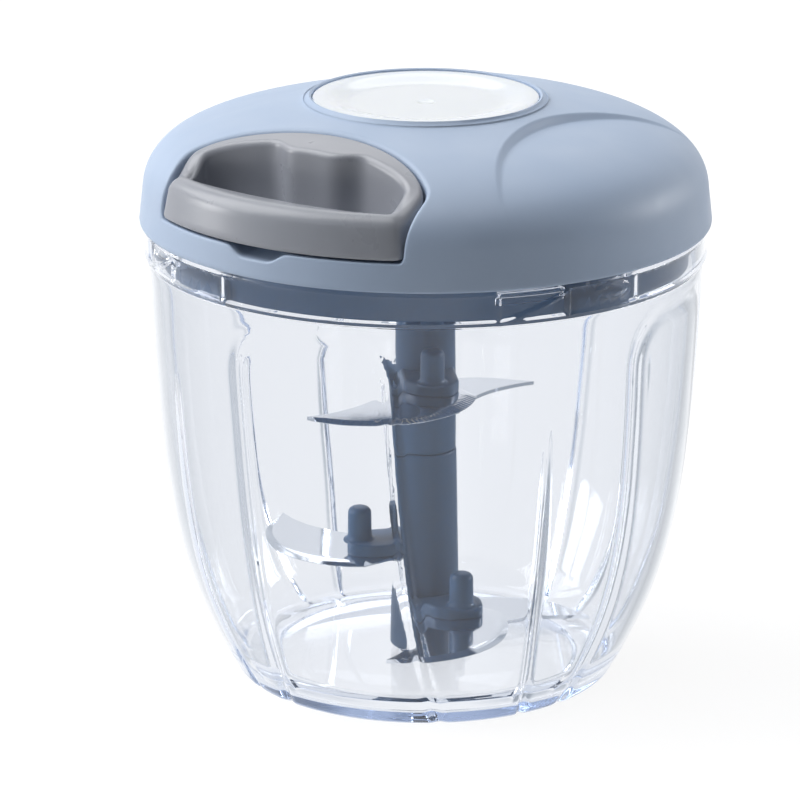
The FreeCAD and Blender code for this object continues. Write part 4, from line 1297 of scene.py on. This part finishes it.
# ------------------------------------------------------------------ handle
@dataclass
class PullHandle:
    """D-shaped pull: a rounded front bar, side rims flush with the dome, a nosed back."""

    lid: LidShell
    base_z: float = 109.3
    pocket_z: float = 112.3
    half: float = 30.8
    middle_y: float = -46.0
    face_radius: float = 61.8
    crease_in: float = 1.1
    crease_lean: float = 24.0
    bar_reach: float = 3.3
    bar_rise: float = 2.55
    bar_roll: float = 0.6
    rim_reach: float = 2.2
    rim_roll: float = 1.5
    back_less: float = 1.4
    bar_top_z: float = 118.15
    bar_back_z: float = 117.6
    bar_back_y: float = -52.9
    back_radius: float = 48.2
    back_centre: float = -80.9
    back_corner: float = 4.3
    rim_drop: float = 0.25
    pocket_lean: float = 0.3
    pocket_fillet: float = 1.2
    pocket_front: tuple[float, float] = (25.4, -50.2)
    pocket_back: tuple[float, float] = (26.0, -44.4)
    pocket_back_radius: float = 43.4
    nose_half: float = 12.0
    nose_flank: float = 7.2
    nose_out: float = 3.7
    fronts: int = 71
    sides: int = 25
    backs: int = 81

    def loops(self) -> tuple[np.ndarray, np.ndarray]:
        """Outer and pocket plan loops with matching points, from the left front corner.

        Returns:
            The outer loop and the pocket's, one row a point.
        """
        h = np.linspace(-1, 1, 120) * math.asin(self.half / self.face_radius)
        front = np.stack([self.face_radius * np.sin(h), -self.face_radius * np.cos(h)], -1)
        cx = self.half - self.back_corner
        cy = self.back_centre + math.sqrt((self.back_radius - self.back_corner) ** 2 - cx ** 2)
        turn = math.atan2(cy - self.back_centre, cx)
        swing = np.linspace(0, turn, 30)
        bend = np.stack([cx + self.back_corner * np.cos(swing),
                         cy + self.back_corner * np.sin(swing)], -1)
        sweep = np.linspace(turn, math.pi - turn, 160)
        arc = np.stack([self.back_radius * np.cos(sweep),
                        self.back_centre + self.back_radius * np.sin(sweep)], -1)
        mid = len(bend) // 2
        mirror = np.array([-1.0, 1.0])
        right = np.vstack([front[-1:], bend[:mid + 1]])
        back = np.vstack([bend[mid:], arc[1:-1], (bend * mirror)[::-1][:len(bend) - mid]])
        outer = [front, right, back, (right * mirror)[::-1]]
        x = np.linspace(-self.pocket_front[0], self.pocket_front[0], 120)
        rise = self.pocket_front[1] - self.bar_back_y
        pocket_bar = np.stack([x, self.bar_back_y + rise * (x / self.pocket_front[0]) ** 2], -1)
        side = np.array([self.pocket_front, self.pocket_back])
        x = np.linspace(self.pocket_back[0], -self.pocket_back[0], 400)
        reach = self.pocket_back_radius + 1.5 * smooth((np.abs(x) - 12.0) / 14.0)
        y = self.back_centre + np.sqrt(reach ** 2 - x ** 2)
        y -= self.nose_out * smooth((self.nose_half - np.abs(x)) / self.nose_flank)
        y -= 0.4 * np.clip(1.0 - (x / self.nose_half) ** 2, 0.0, 1.0)
        y[[0, -1]] = self.pocket_back[1]
        inner = [pocket_bar, side, np.stack([x, y], -1), (side * mirror)[::-1]]
        counts = (self.fronts, self.sides, self.backs, self.sides)
        rounds = [np.vstack([along(part, count)[:-1] for part, count in zip(parts, counts)])
                  for parts in (outer, inner)]
        return relax(rounds[0], 5), relax(rounds[1], 9)

    def build(self, paint: Paint) -> None:
        """Carries one cross-section round the two loops, and closes it top and bottom.

        Args:
            paint: the finishes.
        """
        outer, pocket = self.loops()
        wall = self.section(outer, pocket)
        centre = np.array([0.0, self.middle_y])
        base = [level(centre + (outer - centre) * share, self.base_z)
                for share in (0.3, 0.6, 0.85)]
        under = [level(outer + unit(centre - outer) * inset, self.base_z + rise)
                 for inset, rise in ((1.2, 0.0), (0.5, 0.0), (0.15, 0.15), (0.0, 0.5))]
        floor = [level(centre + (wall[-1, :, :2] - centre) * share, self.pocket_z)
                 for share in (0.85, 0.6, 0.3)]
        skin = Skin()
        grid = skin.sheet(np.concatenate([np.stack(base + under), wall, np.stack(floor)]))
        skin.fan(grid[0], (0.0, self.middle_y, self.base_z))
        skin.fan(grid[-1], (0.0, self.middle_y, self.pocket_z))
        paint.dress(skin.finish("grip"), Slot.GRIP, "handle", ("pull_handle",))

    def section(self, outer: np.ndarray, pocket: np.ndarray) -> np.ndarray:
        """The cross-section at every place of the loops.

        From outside in: a face that leans in to a crease, an elliptic roll up to
        the top, the top itself, a round roll into the pocket, its wall and a
        fillet. bar is 1 along the front bar and 0 along the rims, back is 1
        along the back rim; every size moves between its values by these two.

        Args:
            outer: the outer loop.
            pocket: the pocket's loop.

        Returns:
            Points, rows of the section by places of the loops.
        """
        width = np.linalg.norm(pocket - outer, axis=1)
        across = unit(pocket - outer)
        bar = smooth((-outer[:, 1] - 43.0) / 10.5)
        back = smooth((outer[:, 1] + 46.0) / 6.0)
        rim = 1.0 - bar
        crease = self.crease_in * bar
        roll = self.bar_roll * bar + rim * (self.rim_roll + 0.1 * back)
        round_rim = rim * (self.rim_reach - self.back_less * back)
        reach = np.minimum(self.bar_reach * bar + round_rim, 0.8 * (width - roll - crease))
        rise = self.bar_rise * bar + round_rim
        begin = math.radians(self.crease_lean) * bar
        edge, stop = crease + reach, width - roll

        def top(t: np.ndarray) -> np.ndarray:
            """Height of the top: the bar's slight fall, or the dome less a little.

            Args:
                t: distances in from the outer loop.

            Returns:
                The height at each.
            """
            spot = outer + across * t[:, None]
            dome = self.lid.dome_height(np.hypot(spot[:, 0], spot[:, 1])) - self.rim_drop
            soft = 0.5 * (dome + self.bar_top_z + np.hypot(dome - self.bar_top_z, 0.5))
            share = np.clip((t - edge) / np.maximum(stop - edge, 0.1), 0.0, 1.0)
            flat = self.bar_top_z + (self.bar_back_z - self.bar_top_z) * share ** 1.6
            return bar * flat + rim * soft

        crease_z = top(edge) - rise
        low = self.base_z + 0.8
        rows = [(crease * share, low + (crease_z - low) * share)
                for share in np.linspace(0.0, 1.0, 6)]
        for share in np.linspace(0.0, 1.0, 10)[1:]:
            turn = begin + (math.pi / 2 - begin) * share
            rows.append((crease + reach * (np.cos(begin) - np.cos(turn)) / np.cos(begin),
                         crease_z + rise * (np.sin(turn) - np.sin(begin)) / (1 - np.sin(begin))))
        rows += [(spot, top(spot)) for spot in (edge + (stop - edge) * share
                                                for share in (0.25, 0.5, 0.75, 1.0))]
        roll_z = top(stop)
        for turn in np.radians(np.linspace(11.0, 90.0, 8)):
            rows.append((stop + roll * math.sin(turn), roll_z - roll * (1 - math.cos(turn))))
        fillet, foot = self.pocket_fillet, width + self.pocket_lean
        last, low = roll_z - roll, self.pocket_z + fillet
        rows += [(width + self.pocket_lean * share, last + (low - last) * share)
                 for share in (0.35, 0.7, 1.0)]
        rows += [(foot + fillet * (1 - math.cos(turn)),
                  np.full_like(width, low - fillet * math.sin(turn)))
                 for turn in np.radians([22.0, 45.0, 68.0, 90.0])]
        t = np.stack([row[0] for row in rows])
        z = np.stack([row[1] for row in rows])
        plan = outer[None, :, :] + across[None, :, :] * t[..., None]
        return np.concatenate([plan, z[..., None]], -1)


@dataclass
class PullCord:
    """The cord's stretch between the guide in the bay's wall and the handle."""

    radius: float = 1.1
    swell: float = 0.04
    z: float = 114.0
    inside_y: float = -30.5
    handle_y: float = -36.6
    columns: int = 20
    rows: int = 90

    def build(self, paint: Paint) -> None:
        """Tube along Y that stretches between the lid and the handle.

        The radius swells a little where two strands cross, by the square of a
        cosine of four times the angle plus three times the length in millimetres.

        Args:
            paint: the finishes.
        """
        y = np.linspace(self.inside_y, self.handle_y, self.rows)[:, None]
        angle = np.radians(np.arange(self.columns) * 360.0 / self.columns)[None, :]
        swell = self.swell * np.cos(4 * angle + 3.0 * y) ** 2
        radius = self.radius * (1.0 - self.swell + swell)
        points = np.stack([radius * np.cos(angle), np.broadcast_to(y, radius.shape),
                           self.z + radius * np.sin(angle)], -1)
        skin = Skin()
        grid = skin.sheet(points)
        skin.fan(grid[0], (0.0, self.inside_y, self.z))
        skin.fan(grid[-1], (0.0, self.handle_y, self.z))
        piece = skin.finish("pull_cord", 60.0)
        paint.dress(piece, Slot.CORD, "", ("cord_lead",))
        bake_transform(piece)


# ------------------------------------------------------------------ blade column
@dataclass(frozen=True)
class Wing:
    """One blade: its name, top face height, arm heading and serrated share."""

    name: str
    top_z: float
    heading: float
    teeth: float


@dataclass
class BladeColumn:
    """Two lengths of column with arms and pegs, and five curved steel wings."""

    seam_z: float = 50.0
    top_z: float = 93.3
    foot_z: float = 4.1
    radii: tuple[float, float, float] = (6.4, 6.8, 7.8)
    arm_thick: float = 2.7
    peg_radius: float = 2.65
    peg_height: float = 7.4
    peg_reach: float = 14.8
    round_points: int = 72
    arm_plan: tuple[tuple[float, float], ...] = (
        (-3.0, -5.9), (-3.0, 6.0), (13.7, 6.0), (17.2, 4.2), (18.1, 2.6), (16.0, -3.6),
        (13.0, -5.9), (-3.0, -5.9))
    tang_plan: tuple[tuple[float, float], ...] = (
        (-5.5, -1.5), (5.5, -1.5), (5.5, 1.5), (-5.5, 1.5), (-5.5, -1.5))
    blade_rows: int = 220
    cutting_root: tuple[tuple[float, float], ...] = ((5.2, 4.2), (15.5, 9.6))
    cutting_middle: tuple[float, float] = (33.4, -6.0)
    back_root: tuple[tuple[float, float], ...] = ((5.2, -4.2), (8.4, -8.6))
    back_middle: tuple[float, float] = (22.6, -17.4)
    tip: tuple[float, float] = (28.4, -28.2)
    blade_thick: float = 0.8
    edge_thick: float = 0.12
    bevel: float = 2.1
    tooth_pitch: float = 1.15
    tooth_depth: float = 0.32
    wings: tuple[Wing, ...] = (
        Wing("top_front_blade", 66.8, 41.0, 0.55),
        Wing("top_rear_blade", 55.6, 221.0, 0.0),
        Wing("middle_blade", 26.6, -45.0, 0.0),
        Wing("lower_blade", 14.6, 68.0, 0.0),
        Wing("bottom_blade", 5.3, 188.0, 0.0),
    )

    def arm(self, skin: Skin, wing: Wing) -> None:
        """Adds an arm: a flat plate with a rounded edge, its peg and its rivet head.

        The plate's plan is a closed outline shrunk towards its middle by the same
        small distance at each row of its rounded edge.

        Args:
            skin: the column's surface.
            wing: the blade it carries.
        """
        outline = relax(along(np.array(self.arm_plan), 121)[:-1], 3)
        ahead = np.roll(outline, -1, 0) - np.roll(outline, 1, 0)
        inward = unit(np.stack([-ahead[:, 1], ahead[:, 0]], -1))
        if np.sum(inward * (outline.mean(0) - outline)) < 0:
            inward = -inward
        low, high = wing.top_z, wing.top_z + self.arm_thick
        rows = np.stack([level(outline + inward * inset, z) for inset, z in (
            (0.35, low), (0.1, low + 0.1), (0.0, low + 0.35), (0.0, high - 0.6),
            (0.08, high - 0.3), (0.3, high - 0.08), (0.6, high))])
        middle = outline.mean(0)
        grid = skin.sheet(self.swing(rows, wing.heading))
        for ring, z in ((grid[0], low), (grid[-1], high)):
            spot = self.swing(np.array([[middle[0], middle[1], z]]), wing.heading)[0]
            skin.fan(ring, tuple(spot))
        foot = tuple(self.swing(np.array([[self.peg_reach, 0.0, 0.0]]), wing.heading)[0, :2])
        top = high + self.peg_height
        r = self.peg_radius
        peg = [(0.0, high - 0.4), (r + 1.0, high - 0.4), (r + 0.9, high),
               (r + 0.55, high + 0.08), (r + 0.25, high + 0.3), (r + 0.07, high + 0.7),
               (r, high + 1.2), (r - 0.06, top - 1.3)]
        peg += [(r - 1.3 + 1.24 * math.cos(a), top - 1.3 + 1.3 * math.sin(a))
                for a in np.radians([20.0, 45.0, 68.0, 88.0])]
        skin.turn(peg + [(0.0, top)], 40, foot)
        under = wing.top_z - self.blade_thick
        rivet = [(0.0, wing.top_z), (1.9, wing.top_z), (1.9, under), (2.6, under),
                 (2.5, under - 0.25), (1.9, under - 0.45), (0.9, under - 0.55), (0.0, under - 0.57)]
        skin.turn(rivet, 32, foot)

    def swing(self, points: np.ndarray, degrees: float) -> np.ndarray:
        """Points of (out, side, z) turned to a heading; side is towards larger headings.

        Args:
            points: array of shape (..., 3).
            degrees: the heading.

        Returns:
            The points in the model's frame.
        """
        angle = math.radians(degrees)
        out = np.array([math.sin(angle), -math.cos(angle)])
        side = np.array([math.cos(angle), math.sin(angle)])
        plan = points[..., :1] * out + points[..., 1:2] * side
        return np.concatenate([plan, points[..., 2:]], -1)

    def columns(self, paint: Paint) -> None:
        """Makes the two lengths, each with its arms, as closed forms in one piece.

        Args:
            paint: the finishes.
        """
        top, seam, foot = self.radii
        upper = Skin()
        profile = rounded([(0.0, self.seam_z + 0.05), (seam, self.seam_z + 0.05),
                           (seam - 0.02, 62.0), (top, self.top_z), (3.0, self.top_z),
                           (0.0, self.top_z)], 0.5)
        upper.turn(profile, self.round_points)
        ring = relax(along(np.array(self.tang_plan), 57)[:-1], 1)
        grid = upper.sheet(np.stack([level(ring * share, self.top_z + rise) for share, rise in (
            (1.0, -0.6), (1.0, 5.7), (0.95, 6.2))]))
        upper.fan(grid[0], (0.0, 0.0, self.top_z - 0.6))
        upper.fan(grid[-1], (0.0, 0.0, self.top_z + 6.28))
        lower = Skin()
        profile = rounded([(0.0, self.foot_z), (foot, self.foot_z),
                           (seam + 0.15, self.seam_z - 0.05), (0.0, self.seam_z - 0.05)], 0.5)
        lower.turn(profile, self.round_points)
        for wing in self.wings:
            self.arm(upper if wing.top_z > self.seam_z else lower, wing)
        for skin, name, node in ((upper, "column_top", "upper_column"),
                                 (lower, "column_foot", "lower_column")):
            paint.dress(skin.finish(name, 35.0), Slot.COLUMN, "rotor", (node,))

    def blade(self, paint: Paint, wing: Wing) -> None:
        """Makes one wing, as a plate ruled between its cutting edge and its back.

        Rows follow the blade from root to tip. Across it the top falls towards
        the cutting edge over the bevel's width, and teeth notch that edge.

        Args:
            paint: the finishes.
            wing: the blade.
        """
        u = np.linspace(0.0, 1.0, self.blade_rows)
        cutting = self.through(self.cutting_root, self.cutting_middle)
        back = self.through(self.back_root, self.back_middle)
        gap = np.linalg.norm(cutting - back, axis=1)
        toward = unit(back - cutting)
        length = np.concatenate([[0.0], np.cumsum(np.linalg.norm(np.diff(cutting, axis=0),
                                                                 axis=1))])
        if wing.teeth > 0:
            saw = np.abs((length / self.tooth_pitch) % 1.0 - 0.5) * 2.0
            zone = smooth((u - 0.2) / 0.03) * smooth((0.2 + wing.teeth - u) / 0.03)
            cutting = cutting + toward * (saw * self.tooth_depth * zone)[:, None]
        full = np.minimum(np.minimum(self.bevel, gap * 0.45) / np.maximum(gap, 0.3), 0.5)
        shares = [0 * full, full / 2, full]
        shares += [full + (1 - full) * flat for flat in (0.1, 0.5, 0.9, 1.0)]
        deep = (self.blade_thick - self.edge_thick) * np.array([1.0, 0.5, 0, 0, 0, 0, 0])
        ease = (0.15 + 0.85 * smooth(u / 0.25)) * (gap > 0.0)
        top = [level(cutting + (back - cutting) * share[:, None], wing.top_z - fall * ease)
               for share, fall in zip(shares, deep)]
        bottom = [level(strip[:, :2], wing.top_z - self.blade_thick) for strip in top]
        skin = Skin()
        grid = skin.sheet(self.swing(np.stack(top + bottom[::-1], 1), wing.heading))
        half = len(top)
        for end in (grid[0], grid[-1]):
            skin.join(np.stack([end[:half], end[:half - 1:-1]]))
        piece = skin.finish(wing.name + "_steel", 20.0)
        paint.dress(piece, Slot.BLADE, "rotor", (wing.name,))

    def through(self, root: tuple[tuple[float, float], ...],
                middle: tuple[float, float]) -> np.ndarray:
        """Even points on a blade's straight root and then on an arc to its tip.

        The arc is on the circle through the root's end, the middle and the tip,
        whose centre is as far from each: 2 (b - a) . centre = b . b - a . a.

        Args:
            root: first and last point of the straight edge.
            middle: a point that the arc passes.

        Returns:
            Points of (out, side).
        """
        a, b, c = (np.array(point, float) for point in (root[1], middle, self.tip))
        matrix = 2 * np.array([b - a, c - a])
        centre = np.linalg.solve(matrix, [b @ b - a @ a, c @ c - a @ a])
        radius = np.linalg.norm(a - centre)
        first, mid, last = (math.atan2(*(point - centre)[::-1]) for point in (a, b, c))
        span = (last - first) % (2 * math.pi)
        if (mid - first) % (2 * math.pi) > span:
            span -= 2 * math.pi
        sweep = first + span * np.linspace(0, 1, 300)
        arc = centre + radius * np.stack([np.cos(sweep), np.sin(sweep)], -1)
        return along(np.vstack([root[:1], arc]), self.blade_rows)

    def build(self, paint: Paint) -> None:
        """Makes the column and its wings.

        Args:
            paint: the finishes.
        """
        self.columns(paint)
        for wing in self.wings:
            self.blade(paint, wing)


# ------------------------------------------------------------------ hidden works
@dataclass
class Works:
    """The nodes whose CAD shape is right: each gets a merged, dressed copy."""

    parts: tuple[tuple[str, Slot, str, float], ...] = (
        ("floor_pin", Slot.STEEL, "bowl", 0.0),
        ("lid_seal", Slot.SEAL, "seal", 0.15),
        ("bottom_cover", Slot.SKIRT, "lid", 0.0),
        ("lid_screws", Slot.STEEL, "lid", 0.0),
        ("cord_guide", Slot.ACETAL, "lid", 0.0),
        ("drive_bushing", Slot.ACETAL, "lid", 0.0),
        ("main_axle", Slot.STEEL, "lid", 0.0),
        ("spring_arbor", Slot.ACETAL, "lid", 0.0),
        ("power_spring", Slot.STEEL, "lid", 0.0),
        ("cord_run", Slot.CORD, "lid", 0.0),
        ("cord_knot", Slot.CORD, "handle", 0.0),
        ("cord_spool", Slot.ACETAL, "spool", 0.0),
        ("wound_cord", Slot.CORD, "spool", 0.0),
        ("clutch_pawls", Slot.ACETAL, "spool", 0.0),
        ("pawl_pins", Slot.STEEL, "spool", 0.0),
        ("drive_hub", Slot.ACETAL, "drive", 0.0),
        ("retaining_ring", Slot.STEEL, "drive", 0.0),
        ("thrust_washer", Slot.STEEL, "drive", 0.0),
        ("foot_bush", Slot.ACETAL, "rotor", 0.0),
    )

    def build(self, paint: Paint) -> None:
        """Makes a copy of each node."""
        for node, slot, body, bevel in self.parts:
            paint.copy_of(node, slot, body, node + "_skin", bevel=bevel)


# ------------------------------------------------------------------ studio
@dataclass(frozen=True)
class Lamp:
    """Square soft lamp: degrees, then two distances in mm, a side in m and watts."""

    name: str
    heading: float
    distance: float
    height: float
    side: float
    power: float


@dataclass
class Studio:
    """Camera, white ground, white surroundings and soft lamps."""

    heading: float = 35.0
    distance: float = 898.0
    height: float = 341.0
    aim_z: float = 60.5
    aim_left: float = 5.6
    lens: float = 191.0
    floor_half: float = 3.0
    ambient: float = 0.03
    right_flag: tuple[float, float, float] = (0.12, 0.5, 0.42)
    left_flag: tuple[float, float, float] = (0.12, 0.5, 0.62)
    front_flag: tuple[float, float, float] = (0.0, 0.7, 0.28)
    dim_hue: tuple[float, float, float, float] = (0.78, 0.88, 1.0, 1.0)
    dim_hue_at: float = 0.3
    shadow_share: float = 0.22
    lift: float = 0.88
    lamp_aim: tuple[float, float, float] = (0.0, 0.0, 80.0)
    lamps: tuple[Lamp, ...] = (
        Lamp("left_lamp", -66.0, 860.0, 930.0, 0.9, 11.0),
        Lamp("low_lamp", -60.0, 1170.0, 280.0, 0.35, 3.2),
        Lamp("top_lamp", -20.0, 125.0, 1270.0, 0.9, 5.0),
        Lamp("right_lamp", 143.0, 1170.0, 400.0, 0.35, 4.4),
        Lamp("back_lamp", -140.0, 850.0, 930.0, 0.7, 1.6),
    )

    @staticmethod
    def stand(name: str, data: bpy.types.ID, spot: tuple[float, float, float],
              aim: np.ndarray) -> bpy.types.Object:
        """Stands a camera or lamp in the scene.

        Args:
            name: the object's name.
            data: the camera or light.
            spot: heading, distance and height.
            aim: the point it looks at, in millimetres.

        Returns:
            The linked object.
        """
        thing = bpy.data.objects.new(name, data)
        bpy.context.scene.collection.objects.link(thing)
        place = at_heading(*(np.array(value) for value in spot)) * MM
        thing.location = place
        thing.rotation_euler = Vector(aim * MM - place).to_track_quat("-Z", "Y").to_euler()
        return thing

    def camera(self) -> None:
        """Camera at the heading, aimed beside the axis so the object sits right of middle."""
        data = bpy.data.cameras.new("camera")
        data.lens = self.lens
        data.sensor_width = 36.0
        data.clip_end = 20.0
        angle = math.radians(self.heading)
        right = np.array([math.cos(angle), math.sin(angle), 0.0])
        aim = np.array([0.0, 0.0, self.aim_z]) - right * self.aim_left
        spot = (self.heading, self.distance, self.height)
        bpy.context.scene.camera = self.stand("camera", data, spot, aim)

    def ground(self) -> None:
        """White ground that shows white to the camera but keeps the object's shadow."""
        material, nodes = new_material("studio_ground")
        light = nodes.add("LightPath").outputs
        grain = nodes.add("TexNoise", {"Vector": nodes.place(), "Scale": 3.0})
        tone = nodes.tones(grain.outputs["Fac"], (0.80, 0.80, 0.80, 1.0), (0.82, 0.82, 0.82, 1.0))
        matt = nodes.add("BsdfDiffuse", {"Color": tone})
        soft = nodes.add("BsdfDiffuse", {"Color": (self.shadow_share,) * 3 + (1.0,)})
        glow = nodes.add("Emission", {"Strength": self.lift})
        lit = nodes.add("AddShader", {0: soft.outputs[0], 1: glow.outputs[0]})
        clear = nodes.add("BsdfTransparent")
        direct = nodes.add("MixShader", {0: self.seen(nodes, light), 1: matt.outputs[0],
                                         2: lit.outputs[0]})
        nodes.link(nodes.add("MixShader", {0: light["Is Transmission Ray"],
                                           1: direct.outputs[0], 2: clear.outputs[0]}))
        skin = Skin()
        side = self.floor_half * 1000.0
        grid = skin.put(np.array([[(-side, -side, -0.05), (side, -side, -0.05)],
                                  [(-side, side, -0.05), (side, side, -0.05)]]))
        skin.join(grid)
        ground = skin.finish("ground")
        if ground.data.polygons[0].normal.z < 0:
            ground.data.flip_normals()
        ground.data.materials.append(material)

    @staticmethod
    def seen(nodes: Nodes, light: bpy.types.bpy_prop_collection) -> bpy.types.NodeSocket:
        """One for rays that the eye, a mirror or glass follows, else nought.

        Args:
            nodes: the tree.
            light: outputs of its Light Path node.

        Returns:
            The number's socket.
        """
        return nodes.math("MAXIMUM",
                          nodes.math("MAXIMUM", light["Is Camera Ray"], light["Is Glossy Ray"]),
                          light["Is Transmission Ray"])

    def surroundings(self) -> None:
        """World: white where it is seen, plain and dimmer where it only lights."""
        world = bpy.data.worlds.new("studio")
        bpy.context.scene.world = world
        world.use_nodes = True
        nodes = Nodes(world.node_tree, "OutputWorld")
        light = nodes.add("LightPath").outputs
        way = nodes.add("SeparateXYZ", {0: nodes.add("TexCoord").outputs["Generated"]}).outputs
        angle = math.radians(self.heading)

        def facing(east: float, north: float) -> bpy.types.NodeSocket:
            """How far a direction points along a level way."""
            return nodes.math("MULTIPLY_ADD", way["Y"], north,
                              nodes.math("MULTIPLY", way["X"], east))

        def ramp(value: bpy.types.NodeSocket, start: float, stop: float,
                 low: float) -> bpy.types.NodeSocket:
            """Strength that falls smoothly from 1 at start to low at stop.

            Args:
                value: what it follows.
                start: where the fall begins.
                stop: where it ends.
                low: the strength there.

            Returns:
                The strength's socket.
            """
            return nodes.add("MapRange", {"Value": value, "From Min": start, "From Max": stop,
                                          "To Min": 1.0, "To Max": low},
                             interpolation_type="SMOOTHSTEP").outputs[0]

        right = facing(math.cos(angle), math.sin(angle))
        ahead = facing(math.sin(angle), -math.cos(angle))
        left = nodes.math("MULTIPLY", right, -1.0)
        through = nodes.math("MULTIPLY", ramp(right, *self.right_flag),
                             ramp(left, *self.left_flag))
        mirrored = ramp(ahead, *self.front_flag)
        bent = nodes.blend(light["Is Transmission Ray"], mirrored, through)
        plain = nodes.blend(light["Is Camera Ray"], bent, 1.0)
        strength = nodes.blend(self.seen(nodes, light), self.ambient, plain)
        hue = nodes.tones(plain, self.dim_hue, (1.0, 1.0, 1.0, 1.0), self.dim_hue_at)
        nodes.link(nodes.add("Background", {"Color": hue, "Strength": strength}))

    def build(self) -> None:
        """Makes the whole studio."""
        self.camera()
        self.ground()
        self.surroundings()
        for lamp in self.lamps:
            data = bpy.data.lights.new(lamp.name, "AREA")
            data.size = lamp.side
            data.energy = lamp.power
            self.stand(lamp.name, data, (lamp.heading, lamp.distance, lamp.height),
                       np.array(self.lamp_aim))
        bpy.context.scene.view_settings.view_transform = "Standard"


def main() -> None:
    """Builds the studio and every sub-assembly."""
    logging.basicConfig(level=logging.INFO, format="%(message)s")
    Studio().build()
    paint = Paint()
    lid = LidShell()
    lid.build(paint)
    CoverDisc().build(paint)
    PullHandle(lid).build(paint)
    PullCord().build(paint)
    Bowl().build(paint)
    BladeColumn().build(paint)
    Works().build(paint)


if __name__ == "__main__":
    main()
